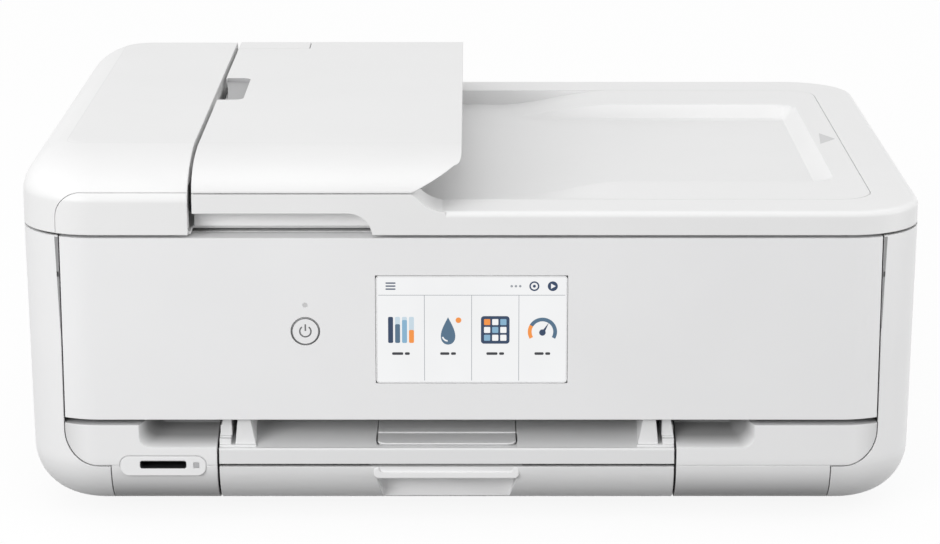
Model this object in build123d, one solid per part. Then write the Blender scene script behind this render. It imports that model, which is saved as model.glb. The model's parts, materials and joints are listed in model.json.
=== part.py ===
from build123d import *
import math
import os

# Inkjet printer with a scanner and a document feeder on top.
# Millimetres. X to the right, Y to the back, Z up; origin at the middle of the footprint.

# ---- driving dimensions of the whole ----
width = 469.0
depth = 366.0
height = 193.0
half_w = width / 2
half_d = depth / 2
corner_radius = 40.0
side_draft = 0.8
bottom_radius = 28.0
foot_height = 6.4
wall = 2.6
housing_top = height - 39.5
lid_seam = 1.3
lid_thickness = 12.3

# ---- clearances ----
cover_gap = 0.5
seat_gap = 0.3
move_gap = 1.0
shaft_play = 0.05

# ---- front layout ----
side_band = 21.6
side_arc = 18.5
foot_band = 45.9
parting_z = 30.2
crease_z = 30.8
crease_width = 0.4
crease_depth = 0.3
tray_middle = -12.65
tray_width = 239.3
lower_top = 52.9
panel_gap = 3.1
finger_depth = 24.0
finger_low = 40.7
finger_width = 40.5
finger_corner = 6.0
finger_rise = 16.0
finger_lip = 0.9
card_x0 = -half_w + 61.3
card_x1 = -half_w + 85.6
card_z0 = 29.3
card_z1 = 33.5
card_corner = 1.2
card_frame = 10.2
card_frame_z = 30.6
card_frame_height = 10.4
card_frame_corner = 4.5
card_groove = 0.5
window_x = card_x1 + 5.2
window_z = 31.0
window_size = 3.0
window_deep = 0.5

# ---- front panel ----
panel_hinge_in = 3.0
panel_depth = 14.0
panel_side_gap = 0.8
panel_pin = 1.0
panel_eye = 2.0
knuckle_length = 26.0
display_middle = 0.35
display_width = 103.9
display_height = 62.2
display_z = housing_top - 48.9
display_rim = 2.2
button_x = -85.7
button_z = housing_top - 49.8
button_radius = 7.2
button_travel = 0.8
button_sunk = 0.1
lamp_rise = 14.0
lamp_radius = 1.2

# ---- scanner unit ----
scanner_deep = 27.5
scanner_hinge_in = 6.5
scanner_lift = 9.0
glass_length = 305.0
glass_width = 230.0
glass_middle = half_w - 187.0
strip_width = 16.0
strip_gap = 8.0
scan_head_length = 26.0

# ---- document cover ----
lid_hinge_in = 6.5
lid_hinge_rise = 5.5
lid_round = 3.0
hinge_left = -half_w + 122.5
hinge_right = half_w - 84.5
hinge_width = 14.0
hinge_pin_radius = 2.5
base_plate = 1.6
base_left_in = 20.0
recess_front = -half_d + 29.7
recess_back = half_d - 31.0
recess_right = half_w - 24.1
recess_drop = 8.5
recess_wall = 1.2
recess_corner = 18.0
rim_in = 44.5
rim_side_in = 15.2
ramp_high = half_w - 154.5
ramp_low = ramp_high - 56.0

# ---- document feeder ----
feeder_seam = -half_w + 90.2
feeder_seam_gap = 2.3
feeder_crease_x = 21.0
feeder_crease_y = 50.0
feeder_corner = 16.0
feeder_shoulder = height - 21.5
fascia_left = 20.5
fascia_corner = 14.0
apron_z = height - 16.2
feeder_hinge_in = 4.5
feeder_hinge_rise = 11.5
feeder_eye_y = half_d - 48.0
feeder_pin = 1.2
tray_right = feeder_seam + 139.5
tray_skin = 2.4
tray_crease_y = 44.0
wedge_start = tray_right - 25.9
wedge_rise = 11.9
strip_end = tray_right - 26.2
grip_right = strip_end - 26.0
grip_depth = 13.0
tray_hinge_x = tray_right - 7.7
tray_hinge_drop = 7.5
hinge_arm_y = half_d - 55.0
tray_pin = 1.4
deck_z = height - 13.4
deck_sheet = 2.4
block_right = feeder_seam + 44.6
block_front = half_d - 29.0
notch_length = 14.5
notch_front = -13.0
notch_back = 54.0
notch_slant = 6.5
notch_floor = 1.2
paper_long = 216.0
pick_x = feeder_seam - 13.0
pick_z = height - 17.0
pick_radius = 6.5
turn_x = feeder_seam - 39.0
turn_z = height - 20.0
turn_radius = 8.0
rack_x = feeder_seam + 45.0

# ---- paper cassette ----
cassette_wall = 2.0
cassette_end = half_d - 61.0
cassette_top = 30.2
handle_left = -50.8
handle_right = 25.1
handle_low = 23.6
handle_deep = 15.0
handle_band = 3.4
handle_end = 2.6
cassette_shelf = 3.0

# ---- output tray ----
lip_low = 31.8
lip_top = 40.3
lip_deep = 3.0
ramp_back = -half_d + 55.0
ramp_top = 50.0
output_end = -half_d + 138.0
output_skin = 3.0
extension_left = -49.4
extension_right = 24.0
extension_front = -half_d + 5.2
extension_groove = 0.4
extension_proud = 0.9
extension_drop = 0.6
extension_tab = -half_d + 19.5
extension_corner = 5.0
pillar_in = 8.0
pillar_foot = 19.3
pillar_lean = 1.6
pillar_head = 6.5
clip_low = 45.0
clip_width = 6.0
clip_lean = 1.8

# ---- inside of the chassis ----
frame_x = half_w - 37.5
frame_sheet = 2.0
frame_front = -half_d + 33.0
frame_back = half_d - 29.0
frame_top = housing_top - 31.5
deck_sheet_low = 0.8
feed_y = 42.0
feed_z = 60.0
feed_radius = 7.0
eject_y = -26.0
eject_z = 59.0
eject_radius = 4.5
journal_radius = 3.0
feed_pulley = 17.0
eject_pulley = 11.0
pulley_width = 6.0
belt_thick = 1.2
platen_top = 63.0
rail_y = 62.0
rail_z = housing_top - 55.5
rail_height = 26.0
rail_thick = 3.0
belt_pulley = 7.0
belt_y = rail_y - 9.5
carriage_width = 82.0
carriage_park = frame_x - 57.0
carriage_low = 68.0
carriage_high = housing_top - 35.5
tank_count = 5
pickup_y = 84.0
pickup_radius = 9.0
access_half = half_w - 124.5
access_low = 46.0
access_high = housing_top - 41.5
access_pin = 0.8
inlet_x = -half_w + 62.5
inlet_z = 62.0
inlet_width = 24.0
inlet_height = 17.0
usb_x = -half_w + 84.5
usb_width = 12.5
usb_height = 11.5
port_z = housing_top - 57.5
net_x = -half_w + 58.5
net_width = 15.0
net_height = 13.0
vent_count = 9
vent_start = half_w - 106.5
vent_pitch = 7.0
vent_width = 2.6
vent_low = housing_top - 61.5
vent_high = housing_top - 33.5
screw_radius = 2.8
screw_side = half_w - 54.5
foot_pad_x = half_w - 64.5
foot_pad_y = half_d - 58.0
foot_pad_radius = 8.5
foot_boss = 3.0

# ---- derived places ----
underside = foot_height
floor_z = underside + wall
lid_bottom = housing_top + lid_seam
lid_top = lid_bottom + lid_thickness
band_x = half_w - side_band
foot_x = half_w - foot_band
tray_left = tray_middle - tray_width / 2
tray_edge = tray_middle + tray_width / 2
panel_low = lower_top + panel_gap
panel_top = housing_top - cover_gap / 2
scanner_low = housing_top - scanner_deep
scanner_pivot_y = half_d - scanner_hinge_in
scanner_pivot_z = housing_top - scanner_lift
rear_top = scanner_pivot_z - scanner_hinge_in - cover_gap
lid_pivot_y = half_d - lid_hinge_in
lid_pivot_z = lid_bottom + lid_hinge_rise
panel_pivot_y = -half_d + panel_hinge_in
panel_pivot_z = panel_top - panel_hinge_in
feeder_right = feeder_seam - feeder_seam_gap / 2
tray_start = feeder_seam + feeder_seam_gap / 2
feeder_pivot_x = -half_w + feeder_hinge_in
feeder_pivot_z = lid_bottom + feeder_hinge_rise
tray_pivot_z = height - tray_hinge_drop
fascia_x = -half_w + fascia_left
recess_floor = lid_top - recess_drop
strip_top = apron_z - cover_gap
scan_start = glass_middle - glass_length / 2 - strip_gap - strip_width / 2
deck_low = cassette_top + seat_gap
deck_high = deck_low + deck_sheet_low
guide_z = floor_z + seat_gap + cassette_wall + seat_gap
extension_low = lip_top + seat_gap + 0.1
output_slope = (ramp_top - lip_top) / (ramp_back + half_d - lip_deep)
access_pin_y = half_d - wall / 2
access_pin_z = access_low + wall / 2
socket_places = [
    (inlet_x - inlet_width / 2, inlet_x + inlet_width / 2, inlet_z - inlet_height / 2, inlet_z + inlet_height / 2),
    (usb_x - usb_width / 2, usb_x + usb_width / 2, port_z - usb_height / 2, port_z + usb_height / 2),
    (net_x - net_width / 2, net_x + net_width / 2, port_z - net_height / 2, port_z + net_height / 2),
]


def save(name, shape):
    """Write one piece to its own file."""
    shape.label = name
    export_step(shape, os.path.join("parts", name + ".step"))


def block(x0, x1, y0, y1, z0, z1):
    """Box between two opposite corners."""
    place = Pos((x0 + x1) / 2, (y0 + y1) / 2, (z0 + z1) / 2)
    return place * Box(x1 - x0, y1 - y0, z1 - z0)


def rod_x(x0, x1, y, z, radius):
    """Round bar along X."""
    return Pos((x0 + x1) / 2, y, z) * Rot(0, 90, 0) * Cylinder(radius, x1 - x0)


def rod_y(y0, y1, x, z, radius):
    """Round bar along Y."""
    return Pos(x, (y0 + y1) / 2, z) * Rot(90, 0, 0) * Cylinder(radius, y1 - y0)


def rod_z(z0, z1, x, y, radius):
    """Round bar along Z."""
    return Pos(x, y, (z0 + z1) / 2) * Cylinder(radius, z1 - z0)


def prism_x(points, x0, x1):
    """Side outline of (y, z) points, drawn out along X."""
    face = Plane.YZ.offset(x0) * make_face(Polyline(*points, close=True))
    return extrude(face, amount=x1 - x0)


def prism_y(points, y0, y1):
    """Front outline of (x, z) points, drawn out along Y."""
    face = Plane.XZ.offset(-y1) * make_face(Polyline(*points, close=True))
    return extrude(face, amount=y1 - y0)


def prism_z(points, z0, z1):
    """Plan outline of (x, y) points, drawn out along Z."""
    return extrude(Pos(0, 0, z0) * make_face(Polyline(*points, close=True)), amount=z1 - z0)


def convex_wedge(tip, near_top, far_top, low):
    """Ramp under the triangle of three points, standing on a plane at a low height."""
    face = [(tip[0], tip[1]), (near_top[0], near_top[1]), (far_top[0], far_top[1])]
    column = prism_z(face, low, near_top[2])
    rise = (near_top[2] - tip[2]) / (near_top[0] - tip[0])
    ramp = prism_y([(tip[0] - 10, tip[2] - 10 * rise), (near_top[0] + 10, near_top[2] + 10 * rise),
                    (near_top[0] + 10, low - 1), (tip[0] - 10, low - 1)], near_top[1] - 5, far_top[1] + 5)
    return column & ramp


def mirrored(shape):
    """The same piece on the other side of the middle plane."""
    return mirror(shape, about=Plane.YZ)


def merged(pieces):
    """Join solids that share faces or overlap."""
    whole = pieces[0]
    for piece in pieces[1:]:
        whole = whole + piece
    return whole


# ---- housing ----

def housing_form(inset):
    """Drafted box of the lower housing with its round bottom edge, moved inwards by an inset."""
    low = underside + inset
    lean = (housing_top - low) * math.tan(math.radians(side_draft))
    radius = corner_radius - inset
    high_plan = Pos(0, 0, housing_top) * RectangleRounded(width - 2 * inset, depth - 2 * inset, radius)
    low_plan = Pos(0, 0, low) * RectangleRounded(width - 2 * inset - 2 * lean, depth - 2 * inset, radius)
    form = loft([high_plan, low_plan], ruled=True)
    return fillet(form.edges().group_by(Axis.Z)[0], bottom_radius - inset)


def side_region(grow):
    """Front outline of the right side cover drawn through the whole depth, its inner edge moved by grow."""
    x = band_x - grow
    low = parting_z + grow
    foot = foot_x - grow
    far = half_w + 1
    corner = (x - side_arc, low + side_arc)
    start = (corner[0] + side_arc, corner[1])
    middle = (corner[0] + side_arc * math.cos(math.pi / 4), corner[1] - side_arc * math.sin(math.pi / 4))
    end = (corner[0], low)
    outline = [
        Line((far, housing_top + 1), (x, housing_top + 1)),
        Line((x, housing_top + 1), start),
        ThreePointArc(start, middle, end),
        Line(end, (foot, low)),
        Line((foot, low), (foot, -1)),
        Line((foot, -1), (far, -1)),
        Line((far, -1), (far, housing_top + 1)),
    ]
    face = Plane.XZ.offset(-half_d - 1) * make_face(Curve() + outline)
    return extrude(face, amount=depth + 2)


outer_form = housing_form(0)
inner_form = housing_form(wall)
shell = outer_form - inner_form


def right_side_cover():
    """Side cover that wraps the front, back and bottom corners like a bracket."""
    cover = shell & side_region(0)
    rear_edge = block(band_x - 1, half_w + 1, scanner_pivot_y, half_d + 1, scanner_pivot_z, housing_top + 1)
    rear_round = rod_x(band_x - 2, half_w + 2, scanner_pivot_y, scanner_pivot_z, scanner_lift)
    return cover - (rear_edge - rear_round)


def card_slot_cutter():
    """Through slot of the memory card reader, with round corners."""
    slot = block(card_x0, card_x1, -half_d - 1, -half_d + 9, card_z0, card_z1)
    return fillet(slot.edges().filter_by(Axis.Y), card_corner)


def recess_outline(y, x_in, out, low, corner):
    """Face of the finger recess at one depth, with its round lower outer corner."""
    side = 1 if out > x_in else -1
    top = lower_top + 2
    bend = corner * (1 - math.cos(math.pi / 4))
    face = make_face(Curve() + [
        Line((x_in, top), (x_in, low)),
        Line((x_in, low), (out - side * corner, low)),
        ThreePointArc((out - side * corner, low), (out - side * bend, low + bend), (out, low + corner)),
        Line((out, low + corner), (out, top)),
        Line((out, top), (x_in, top)),
    ])
    return Plane.XZ.offset(-y) * face


def finger_recess(x_out, x_in):
    """Tapered pocket under the front panel, open at its top and at its front."""
    side = 1 if x_out > x_in else -1
    taper = finger_depth * math.tan(math.radians(finger_rise))
    near = recess_outline(-half_d - 0.01, x_in, x_out, finger_low, finger_corner)
    far = recess_outline(-half_d + finger_depth, x_in, x_out - side * taper, finger_low + taper, finger_corner)
    slot_end = x_out - side * (taper + finger_corner / 2)
    slot = block(min(x_in, slot_end), max(x_in, slot_end), -half_d + finger_depth - 1,
                 -half_d + finger_depth + wall + 1, finger_low + taper + finger_lip, lower_top + 1)
    return loft([near, far], ruled=True) + slot


def lower_front_cover(side, x_in):
    """Lower front cover between a side cover and the tray opening, with its finger recess and crease."""
    region = block(min(x_in, side * half_w), max(x_in, side * half_w), -half_d - 1,
                   -half_d + bottom_radius + cover_gap / 2, 0, lower_top)
    bracket = side_region(cover_gap)
    if side < 0:
        bracket = mirrored(bracket)
    skin = (shell & region) - bracket
    x_out = x_in + side * finger_width
    shelf_end = side * (band_x - cover_gap)
    shelf = block(min(x_in, shelf_end), max(x_in, shelf_end), -half_d + wall / 2, -half_d + finger_depth,
                  lower_top - wall, lower_top) & outer_form
    tub_far = x_out + side * wall
    tub = block(min(x_in, tub_far), max(x_in, tub_far), -half_d + wall / 2,
                -half_d + finger_depth + wall, finger_low - wall, lower_top)
    crease_far = side * half_w
    crease = block(min(x_in, crease_far), max(x_in, crease_far), -half_d - 1, -half_d + crease_depth + 0.2,
                   crease_z - crease_width / 2, crease_z + crease_width / 2)
    cover = skin + shelf + tub
    return cover - finger_recess(x_out, x_in - side) - crease


def front_left_cover():
    """Lower left front cover with the card slot in an outlined frame and the seat of a small window."""
    cover = lower_front_cover(-1, tray_left - cover_gap)
    middle = (card_x0 + card_x1) / 2
    pad_width = card_x1 - card_x0 + 2 * card_frame
    plane = Pos(middle, -half_d + wall, card_frame_z) * Rot(90, 0, 0)
    rim = 2 * card_groove
    groove = plane * extrude(RectangleRounded(pad_width + rim, card_frame_height + rim,
                                              card_frame_corner + card_groove), wall + 1)
    groove = groove & block(-half_w, 0, -half_d - 2, -half_d + card_groove, 0, lower_top)
    pad = plane * extrude(RectangleRounded(pad_width, card_frame_height, card_frame_corner), wall)
    half = window_size / 2
    window = block(window_x - half, window_x + half, -half_d - 1, -half_d + window_deep, window_z - half,
                   window_z + half)
    return cover - groove + pad - card_slot_cutter() - window


def front_right_cover():
    """Lower right front cover."""
    return lower_front_cover(1, tray_edge + cover_gap)


def rear_skin():
    """Back wall between the side covers, from the underside to the scanner unit."""
    region = block(-half_w, half_w, half_d - bottom_radius - cover_gap / 2, half_d + 1, 0, rear_top)
    bracket = side_region(cover_gap)
    return (shell & region) - bracket - mirrored(bracket)


def rear_cover():
    """Back wall with the jam access opening, the sockets' openings and vent slots."""
    cover = rear_skin()
    opening = block(-access_half - cover_gap, access_half + cover_gap, half_d - wall - 1, half_d + 1,
                    access_low - cover_gap, access_high + cover_gap)
    cover = cover - opening
    for x0, x1, z0, z1 in socket_places:
        cover = cover - block(x0, x1, half_d - wall - 1, half_d + 1, z0, z1)
    for index in range(vent_count):
        x = vent_start + index * vent_pitch
        cover = cover - block(x, x + vent_width, half_d - wall - 1, half_d + 1, vent_low, vent_high)
    for x in (-screw_side, screw_side):
        cover = cover - rod_y(half_d - 0.9, half_d + 1, x, rear_top - 7.5, screw_radius + 0.2)
    boss = block(access_half + cover_gap, access_half + 8, half_d - wall - 3, half_d - wall + 0.5, access_low - 4,
                 access_low + 8)
    hole = rod_x(access_half, access_half + 6, access_pin_y, access_pin_z, access_pin + shaft_play)
    cover = cover + boss + mirrored(boss)
    return cover - hole - mirrored(hole)


def rear_access_cover():
    """Jam access cover in the back wall, hinged at its lower edge."""
    panel = block(-access_half, access_half, half_d - wall, half_d, access_low, access_high)
    panel = fillet(panel.edges().filter_by(Axis.Y).group_by(Axis.Z)[-1], 3)
    grip = prism_x([(half_d - 1.6, access_high - 12), (half_d + 1, access_high - 15), (half_d + 1, access_high - 5),
                    (half_d - 1.6, access_high - 6)], -18, 18)
    edge = block(-access_half, access_half, half_d - wall - 1, half_d + 1, access_low - 1, access_pin_z)
    edge = edge - rod_x(-access_half, access_half, access_pin_y, access_pin_z, wall / 2)
    pin = rod_x(access_half - 4, access_half + 4, access_pin_y, access_pin_z, access_pin)
    return panel - grip - edge + pin + mirrored(pin)


def base_pan():
    """Bottom plate with the walls of the cassette bay and the feet's bosses."""
    plate = block(-foot_x + cover_gap, foot_x - cover_gap, -half_d + bottom_radius + 1.5 * cover_gap,
                  half_d - bottom_radius - 1.5 * cover_gap, underside, floor_z)
    pieces = [plate]
    for x0 in (tray_left - 3.0, tray_edge + 1.0):
        pieces.append(block(x0, x0 + 2, frame_front, cassette_end + 6, floor_z - 0.5, cassette_top))
    pieces.append(block(tray_left - 3.0, tray_edge + 3.0, cassette_end + 6, cassette_end + 8, floor_z - 0.5,
                        cassette_top - 6))
    for x in (-foot_pad_x, foot_pad_x):
        for y in (-foot_pad_y, foot_pad_y):
            pieces.append(rod_z(foot_boss, underside + 0.5, x, y, foot_pad_radius + cover_gap))
    return merged(pieces)


def feet():
    """Four rubber feet, each pressed on its boss."""
    pads = []
    for x in (-foot_pad_x, foot_pad_x):
        for y in (-foot_pad_y, foot_pad_y):
            pads.append(rod_z(0, foot_boss, x, y, foot_pad_radius))
    return Compound(children=pads)


def side_frame(side):
    """Sheet-metal side plate that carries the rollers, the rail and the scanner unit."""
    x0 = side * frame_x if side > 0 else -frame_x - frame_sheet
    plate = prism_x([(frame_front, floor_z), (frame_back, floor_z), (frame_back, frame_top),
                     (frame_front + 20, frame_top), (frame_front, 60)], x0, x0 + frame_sheet)
    for y, z in ((feed_y, feed_z), (eject_y, eject_z)):
        plate = plate - rod_x(x0 - 1, x0 + frame_sheet + 1, y, z, journal_radius + shaft_play)
    horn = prism_x([(panel_pivot_y + 0.2, panel_pivot_z - 1.5), (panel_pivot_y + 1.8, panel_pivot_z - 1.0),
                    (panel_pivot_y + 4.2, panel_pivot_z - 5.5), (panel_pivot_y + 4.2, panel_pivot_z - 24),
                    (frame_front + 16, frame_top - 18), (frame_front + 6, frame_top - 52),
                    (panel_pivot_y + 0.2, panel_pivot_z - 32)], x0, x0 + frame_sheet)
    eye = rod_x(x0, x0 + frame_sheet, panel_pivot_y, panel_pivot_z, panel_eye)
    pin_end = side * (frame_x - knuckle_length / 3)
    pin = rod_x(min(pin_end, x0 + 1), max(pin_end, x0 + 1), panel_pivot_y, panel_pivot_z, panel_pin)
    foot = block(x0 - 12 if side > 0 else x0 + frame_sheet, x0 if side > 0 else x0 + frame_sheet + 12,
                 frame_front + 30, frame_back - 30, floor_z, floor_z + frame_sheet)
    ledge = block(x0 if side > 0 else x0 - 8, x0 + 8 + frame_sheet if side > 0 else x0 + frame_sheet,
                  frame_front + 22, frame_back - 12, frame_top - frame_sheet, frame_top)
    return plate + foot + ledge + horn + eye + pin


def paper_deck():
    """Thin steel deck between the cassette and the output tray."""
    z0 = deck_low
    deck = block(tray_left - 7, tray_edge + 7, -half_d + finger_depth + 6, cassette_end - 2, z0, deck_high)
    ears = block(-frame_x + 0.2, frame_x - 0.2, -60, 60, z0, deck_high)
    deck = deck + ears
    window = block(tray_middle - 30, tray_middle + 30, 40, cassette_end, z0 - 1, z0 + 2)
    deck = deck - window
    for side in (-1, 1):
        tab_x = side * (frame_x - 0.2)
        tab = block(min(tab_x, tab_x - side * 2), max(tab_x, tab_x - side * 2), -60, 60, z0, z0 + 8)
        deck = deck + tab
    return deck


def platen():
    """Ribbed plate that holds the paper flat under the print head."""
    y0 = eject_y + eject_radius + 4
    y1 = feed_y - feed_radius - 4
    bed = block(-frame_x + 0.2, frame_x - 0.2, y0, y1, platen_top - 9, platen_top - 4)
    pieces = [bed]
    for index in range(12):
        x = tray_middle - 110 + index * 20
        pieces.append(block(x - 0.8, x + 0.8, y0 + 3, y1 - 3, platen_top - 4.2, platen_top - 1))
    return merged(pieces)


def carriage_rail():
    """Folded steel rail along which the ink carriage runs."""
    web = block(-frame_x + 0.2, frame_x - 0.2, rail_y, rail_y + rail_thick, rail_z - rail_height / 2,
                rail_z + rail_height / 2)
    flange = block(-frame_x + 0.2, frame_x - 0.2, rail_y, rail_y + 14, rail_z + rail_height / 2 - rail_thick,
                   rail_z + rail_height / 2)
    shelf = block(-frame_x + 0.2, frame_x - 0.2, rail_y, rail_y + 20, rail_z - rail_height / 2,
                  rail_z - rail_height / 2 + rail_thick)
    return web + flange + shelf


def loop_belt(along, first, second, radius_a, radius_b, low, high):
    """Closed belt round two pulleys; along X the centres are (x, y) seen from above, else (y, z)."""
    def hull(extra):
        circle_a = Pos(first[0], first[1]) * Circle(radius_a + extra)
        circle_b = Pos(second[0], second[1]) * Circle(radius_b + extra)
        return make_hull(circle_a.edges() + circle_b.edges())

    ring = hull(seat_gap + belt_thick) - hull(seat_gap)
    if along == "x":
        return extrude(Plane.XY.offset(low) * ring, amount=high - low)
    return extrude(Plane.YZ.offset(low) * ring, amount=high - low)


def carriage_belt():
    """Toothed belt behind the ink carriage."""
    return loop_belt("x", (-frame_x + 12, belt_y), (frame_x - 12, belt_y), belt_pulley, belt_pulley,
                     rail_z - 2.5, rail_z + 2.5)


def drive_motors():
    """Carriage motor with its pulley and the idler at the rail's far end, and the motor of the rollers."""
    pieces = []
    for side in (-1, 1):
        x = side * (frame_x - 12)
        pulley = rod_z(rail_z - 2.5, rail_z + 2.5, x, belt_y, belt_pulley)
        flange = rod_z(rail_z + 2.7, rail_z + 4, x, belt_y, belt_pulley + 1)
        axle = rod_z(rail_z - rail_height / 2 - 1.5, rail_z + 4, x, belt_y, 2)
        plate = block(x - 7, x + 7, belt_y - 5, rail_y, rail_z - rail_height / 2, rail_z - rail_height / 2 + 2)
        pieces.append(pulley + flange + axle + plate)
    x = -frame_x + 12
    can = rod_z(rail_z - rail_height / 2 - 15, rail_z - rail_height / 2, x, belt_y, 12)
    pieces[0] = pieces[0] + can
    return Compound(children=pieces + [feed_motor()])


def feed_motor():
    """Motor of the rollers, bolted to the right frame plate."""
    can = rod_x(frame_x - 36, frame_x - 0.2, 100, 84, 16)
    boss = rod_x(frame_x - 39, frame_x - 36, 100, 84, 6)
    return can + boss


def roller_belt():
    """Belt that ties the eject roller to the feed roller outside the left frame plate."""
    x1 = -frame_x - frame_sheet - 1.5
    return loop_belt("y", (feed_y, feed_z), (eject_y, eject_z), feed_pulley, eject_pulley,
                     x1 - pulley_width + 1, x1 - 1)


def main_board():
    """Controller board on posts beside the cassette bay."""
    x0 = -frame_x + 4
    x1 = tray_left - 8
    board = block(x0, x1, -110, 60, floor_z + 12, floor_z + 13.6)
    pieces = [board]
    for x in (x0 + 17, x1 - 5):
        for y in (-100, 50):
            pieces.append(rod_z(floor_z, floor_z + 12, x, y, 3))
    pieces.append(block(x0 + 14, x0 + 34, -40, -20, floor_z + 13.6, floor_z + 16))
    pieces.append(block(x0 + 12, x0 + 26, 10, 30, floor_z + 13.6, floor_z + 17))
    return merged(pieces)


def power_supply():
    """Mains supply behind the left end of the platen."""
    case = block(-frame_x + 13, tray_left - 8, frame_back - 70, frame_back - 4, floor_z, inlet_z - 6)
    for index in range(6):
        y = frame_back - 62 + index * 9
        case = case - block(-frame_x + 20, tray_left - 16, y, y + 3, inlet_z - 7, inlet_z - 5)
    return case


def power_inlet():
    """Two-pin mains inlet in the back wall."""
    back = half_d - 0.6
    x0, x1, z0, z1 = socket_places[0]
    body = block(x0 + 0.3, x1 - 0.3, back - 24, back, z0 + 0.3, z1 - 0.3)
    mouth = block(x0 + 3.5, x1 - 3.5, back - 15, back + 1, z0 + 4, z1 - 4)
    body = body - mouth
    for x in (-4.3, 4.3):
        body = body + rod_y(back - 16, back - 4, inlet_x + x, inlet_z, 1.2)
    tail = block(x0 + 4, x1 - 4, frame_back - 4 + seat_gap, back - 24, z0 - 2, z0 + 6)
    return body + tail


def usb_socket():
    """Square USB socket."""
    x0, x1, z0, z1 = socket_places[1]
    back = half_d - 0.6
    body = block(x0 + 0.3, x1 - 0.3, back - 16, back, z0 + 0.3, z1 - 0.3)
    mouth = block(x0 + 1.6, x1 - 1.6, back - 11, back + 1, z0 + 1.6, z1 - 1.6)
    tongue = block(usb_x - 2.6, usb_x + 2.6, back - 12, back - 3, port_z - 1.4, port_z + 1.4)
    return body - mouth + tongue


def network_socket():
    """Network socket with its latch slot, and the small board behind both sockets."""
    x0, x1, z0, z1 = socket_places[2]
    back = half_d - 0.6
    body = block(x0 + 0.3, x1 - 0.3, back - 18, back, z0 + 0.3, z1 - 0.3)
    mouth = block(x0 + 1.8, x1 - 1.8, back - 14, back + 1, z0 + 1.6, z1 - 3.6)
    latch = block(net_x - 3, net_x + 3, back - 14, back + 1, z1 - 4, z1 - 1.6)
    board = block(net_x - 12, usb_x + 12, back - 22, back - 18.2, port_z - 22, port_z + 12)
    link = block(x0 + 2, x1 - 2, back - 18.6, back - 17.8, z0 + 2, z1 - 2)
    post = block(-frame_x + 0.2, net_x - 11, frame_back - 8, back - 18.4, port_z - 16, port_z - 8)
    return body - mouth - latch + board + link + post


def ink_absorber():
    """Box of the waste ink felt to the right of the cassette bay."""
    box = block(tray_edge + 6, frame_x - 16, -100, 60, floor_z, floor_z + 17)
    well = block(tray_edge + 9, frame_x - 19, -97, 57, floor_z + 3, floor_z + 18)
    felt = block(tray_edge + 9.2, frame_x - 19.2, -96.8, 56.8, floor_z + 3, floor_z + 14)
    return box - well + felt


def cap_station():
    """Service station under the parked ink carriage: sled, cap and wiper."""
    x0 = carriage_park - 34
    x1 = carriage_park + 34
    base = block(x0, x1, -16, 30, deck_high, deck_high + 14)
    cap = block(x0 + 14, x1 - 20, -10, 22, deck_high + 13, platen_top - 9.3)
    return base + cap


def card_reader():
    """Card reader housing behind the card slot."""
    y0 = -half_d + wall + 2.2
    body = block(card_x0 - 2, card_x1 + 2, y0, y0 + 24, card_z0 - 2.4, card_z1 + 2.4)
    mouth = block(card_x0 + 0.2, card_x1 - 0.2, y0 - 1, y0 + 18, card_z0, card_z1)
    return body - mouth


def turn_guide():
    """Curved guide that turns the sheet from the cassette up to the feed roller."""
    centre_y = cassette_end + 2
    centre_z = 54.0
    radius_in = 22.0
    radius_out = 24.4
    ring = rod_x(tray_left + 6, tray_edge - 6, centre_y, centre_z, radius_out)
    ring = ring - rod_x(tray_left, tray_edge, centre_y, centre_z, radius_in)
    keep = block(tray_left, tray_edge, centre_y, centre_y + 30, centre_z - 30, centre_z + 30)
    guide = ring & keep
    roof = block(tray_left + 6, tray_edge - 6, feed_y + 30, centre_y + 0.5, centre_z + radius_in,
                 centre_z + radius_out)
    stay = block(-frame_x + 0.2, frame_x - 0.2, centre_y - 6, centre_y, centre_z + radius_out - 0.5,
                 centre_z + radius_out + 2)
    return guide + roof + stay


def pickup_arm():
    """Arm above the cassette's back end that carries the pick-up roller."""
    pivot_y = cassette_end - 6
    z = cassette_top + 17
    arms = []
    for x in (tray_middle - 17, tray_middle + 15):
        arm = prism_x([(pickup_y - 5, z - 4), (pivot_y + 8, z - 4), (pivot_y + 8, z + 8), (pickup_y - 5, z + 4)],
                      x, x + 2)
        arms.append(arm - rod_x(x - 1, x + 3, pickup_y, z, journal_radius + shaft_play))
    cross = block(tray_middle - 17, tray_middle + 17, pivot_y, pivot_y + 4, z, z + 8)
    mast = block(tray_middle - 5, tray_middle + 5, pivot_y, pivot_y + 6, z + 7.5, 54.0 + 22.0)
    return merged(arms + [cross, mast])


def pickup_roller():
    """Rubber pick-up roller between the arm's plates."""
    z = cassette_top + 17
    tyre = rod_x(tray_middle - 14.5, tray_middle + 14.5, pickup_y, z, pickup_radius)
    axle = rod_x(tray_middle - 18, tray_middle + 18, pickup_y, z, journal_radius)
    return tyre + axle


def feed_roller():
    """Long feed roller with its journals and drive pulley."""
    tube = rod_x(-frame_x + 4, frame_x - 4, feed_y, feed_z, feed_radius)
    shaft = rod_x(-frame_x - frame_sheet - 1.5 - pulley_width, frame_x + frame_sheet + 1, feed_y, feed_z,
                  journal_radius)
    x1 = -frame_x - frame_sheet - 1.5
    pulley = rod_x(x1 - pulley_width + 0.5, x1 - 0.5, feed_y, feed_z, feed_pulley)
    web = rod_x(x1 - pulley_width - 1, x1 - pulley_width + 1.5, feed_y, feed_z, feed_pulley - 6)
    return (pulley - web) + tube + shaft


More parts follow.
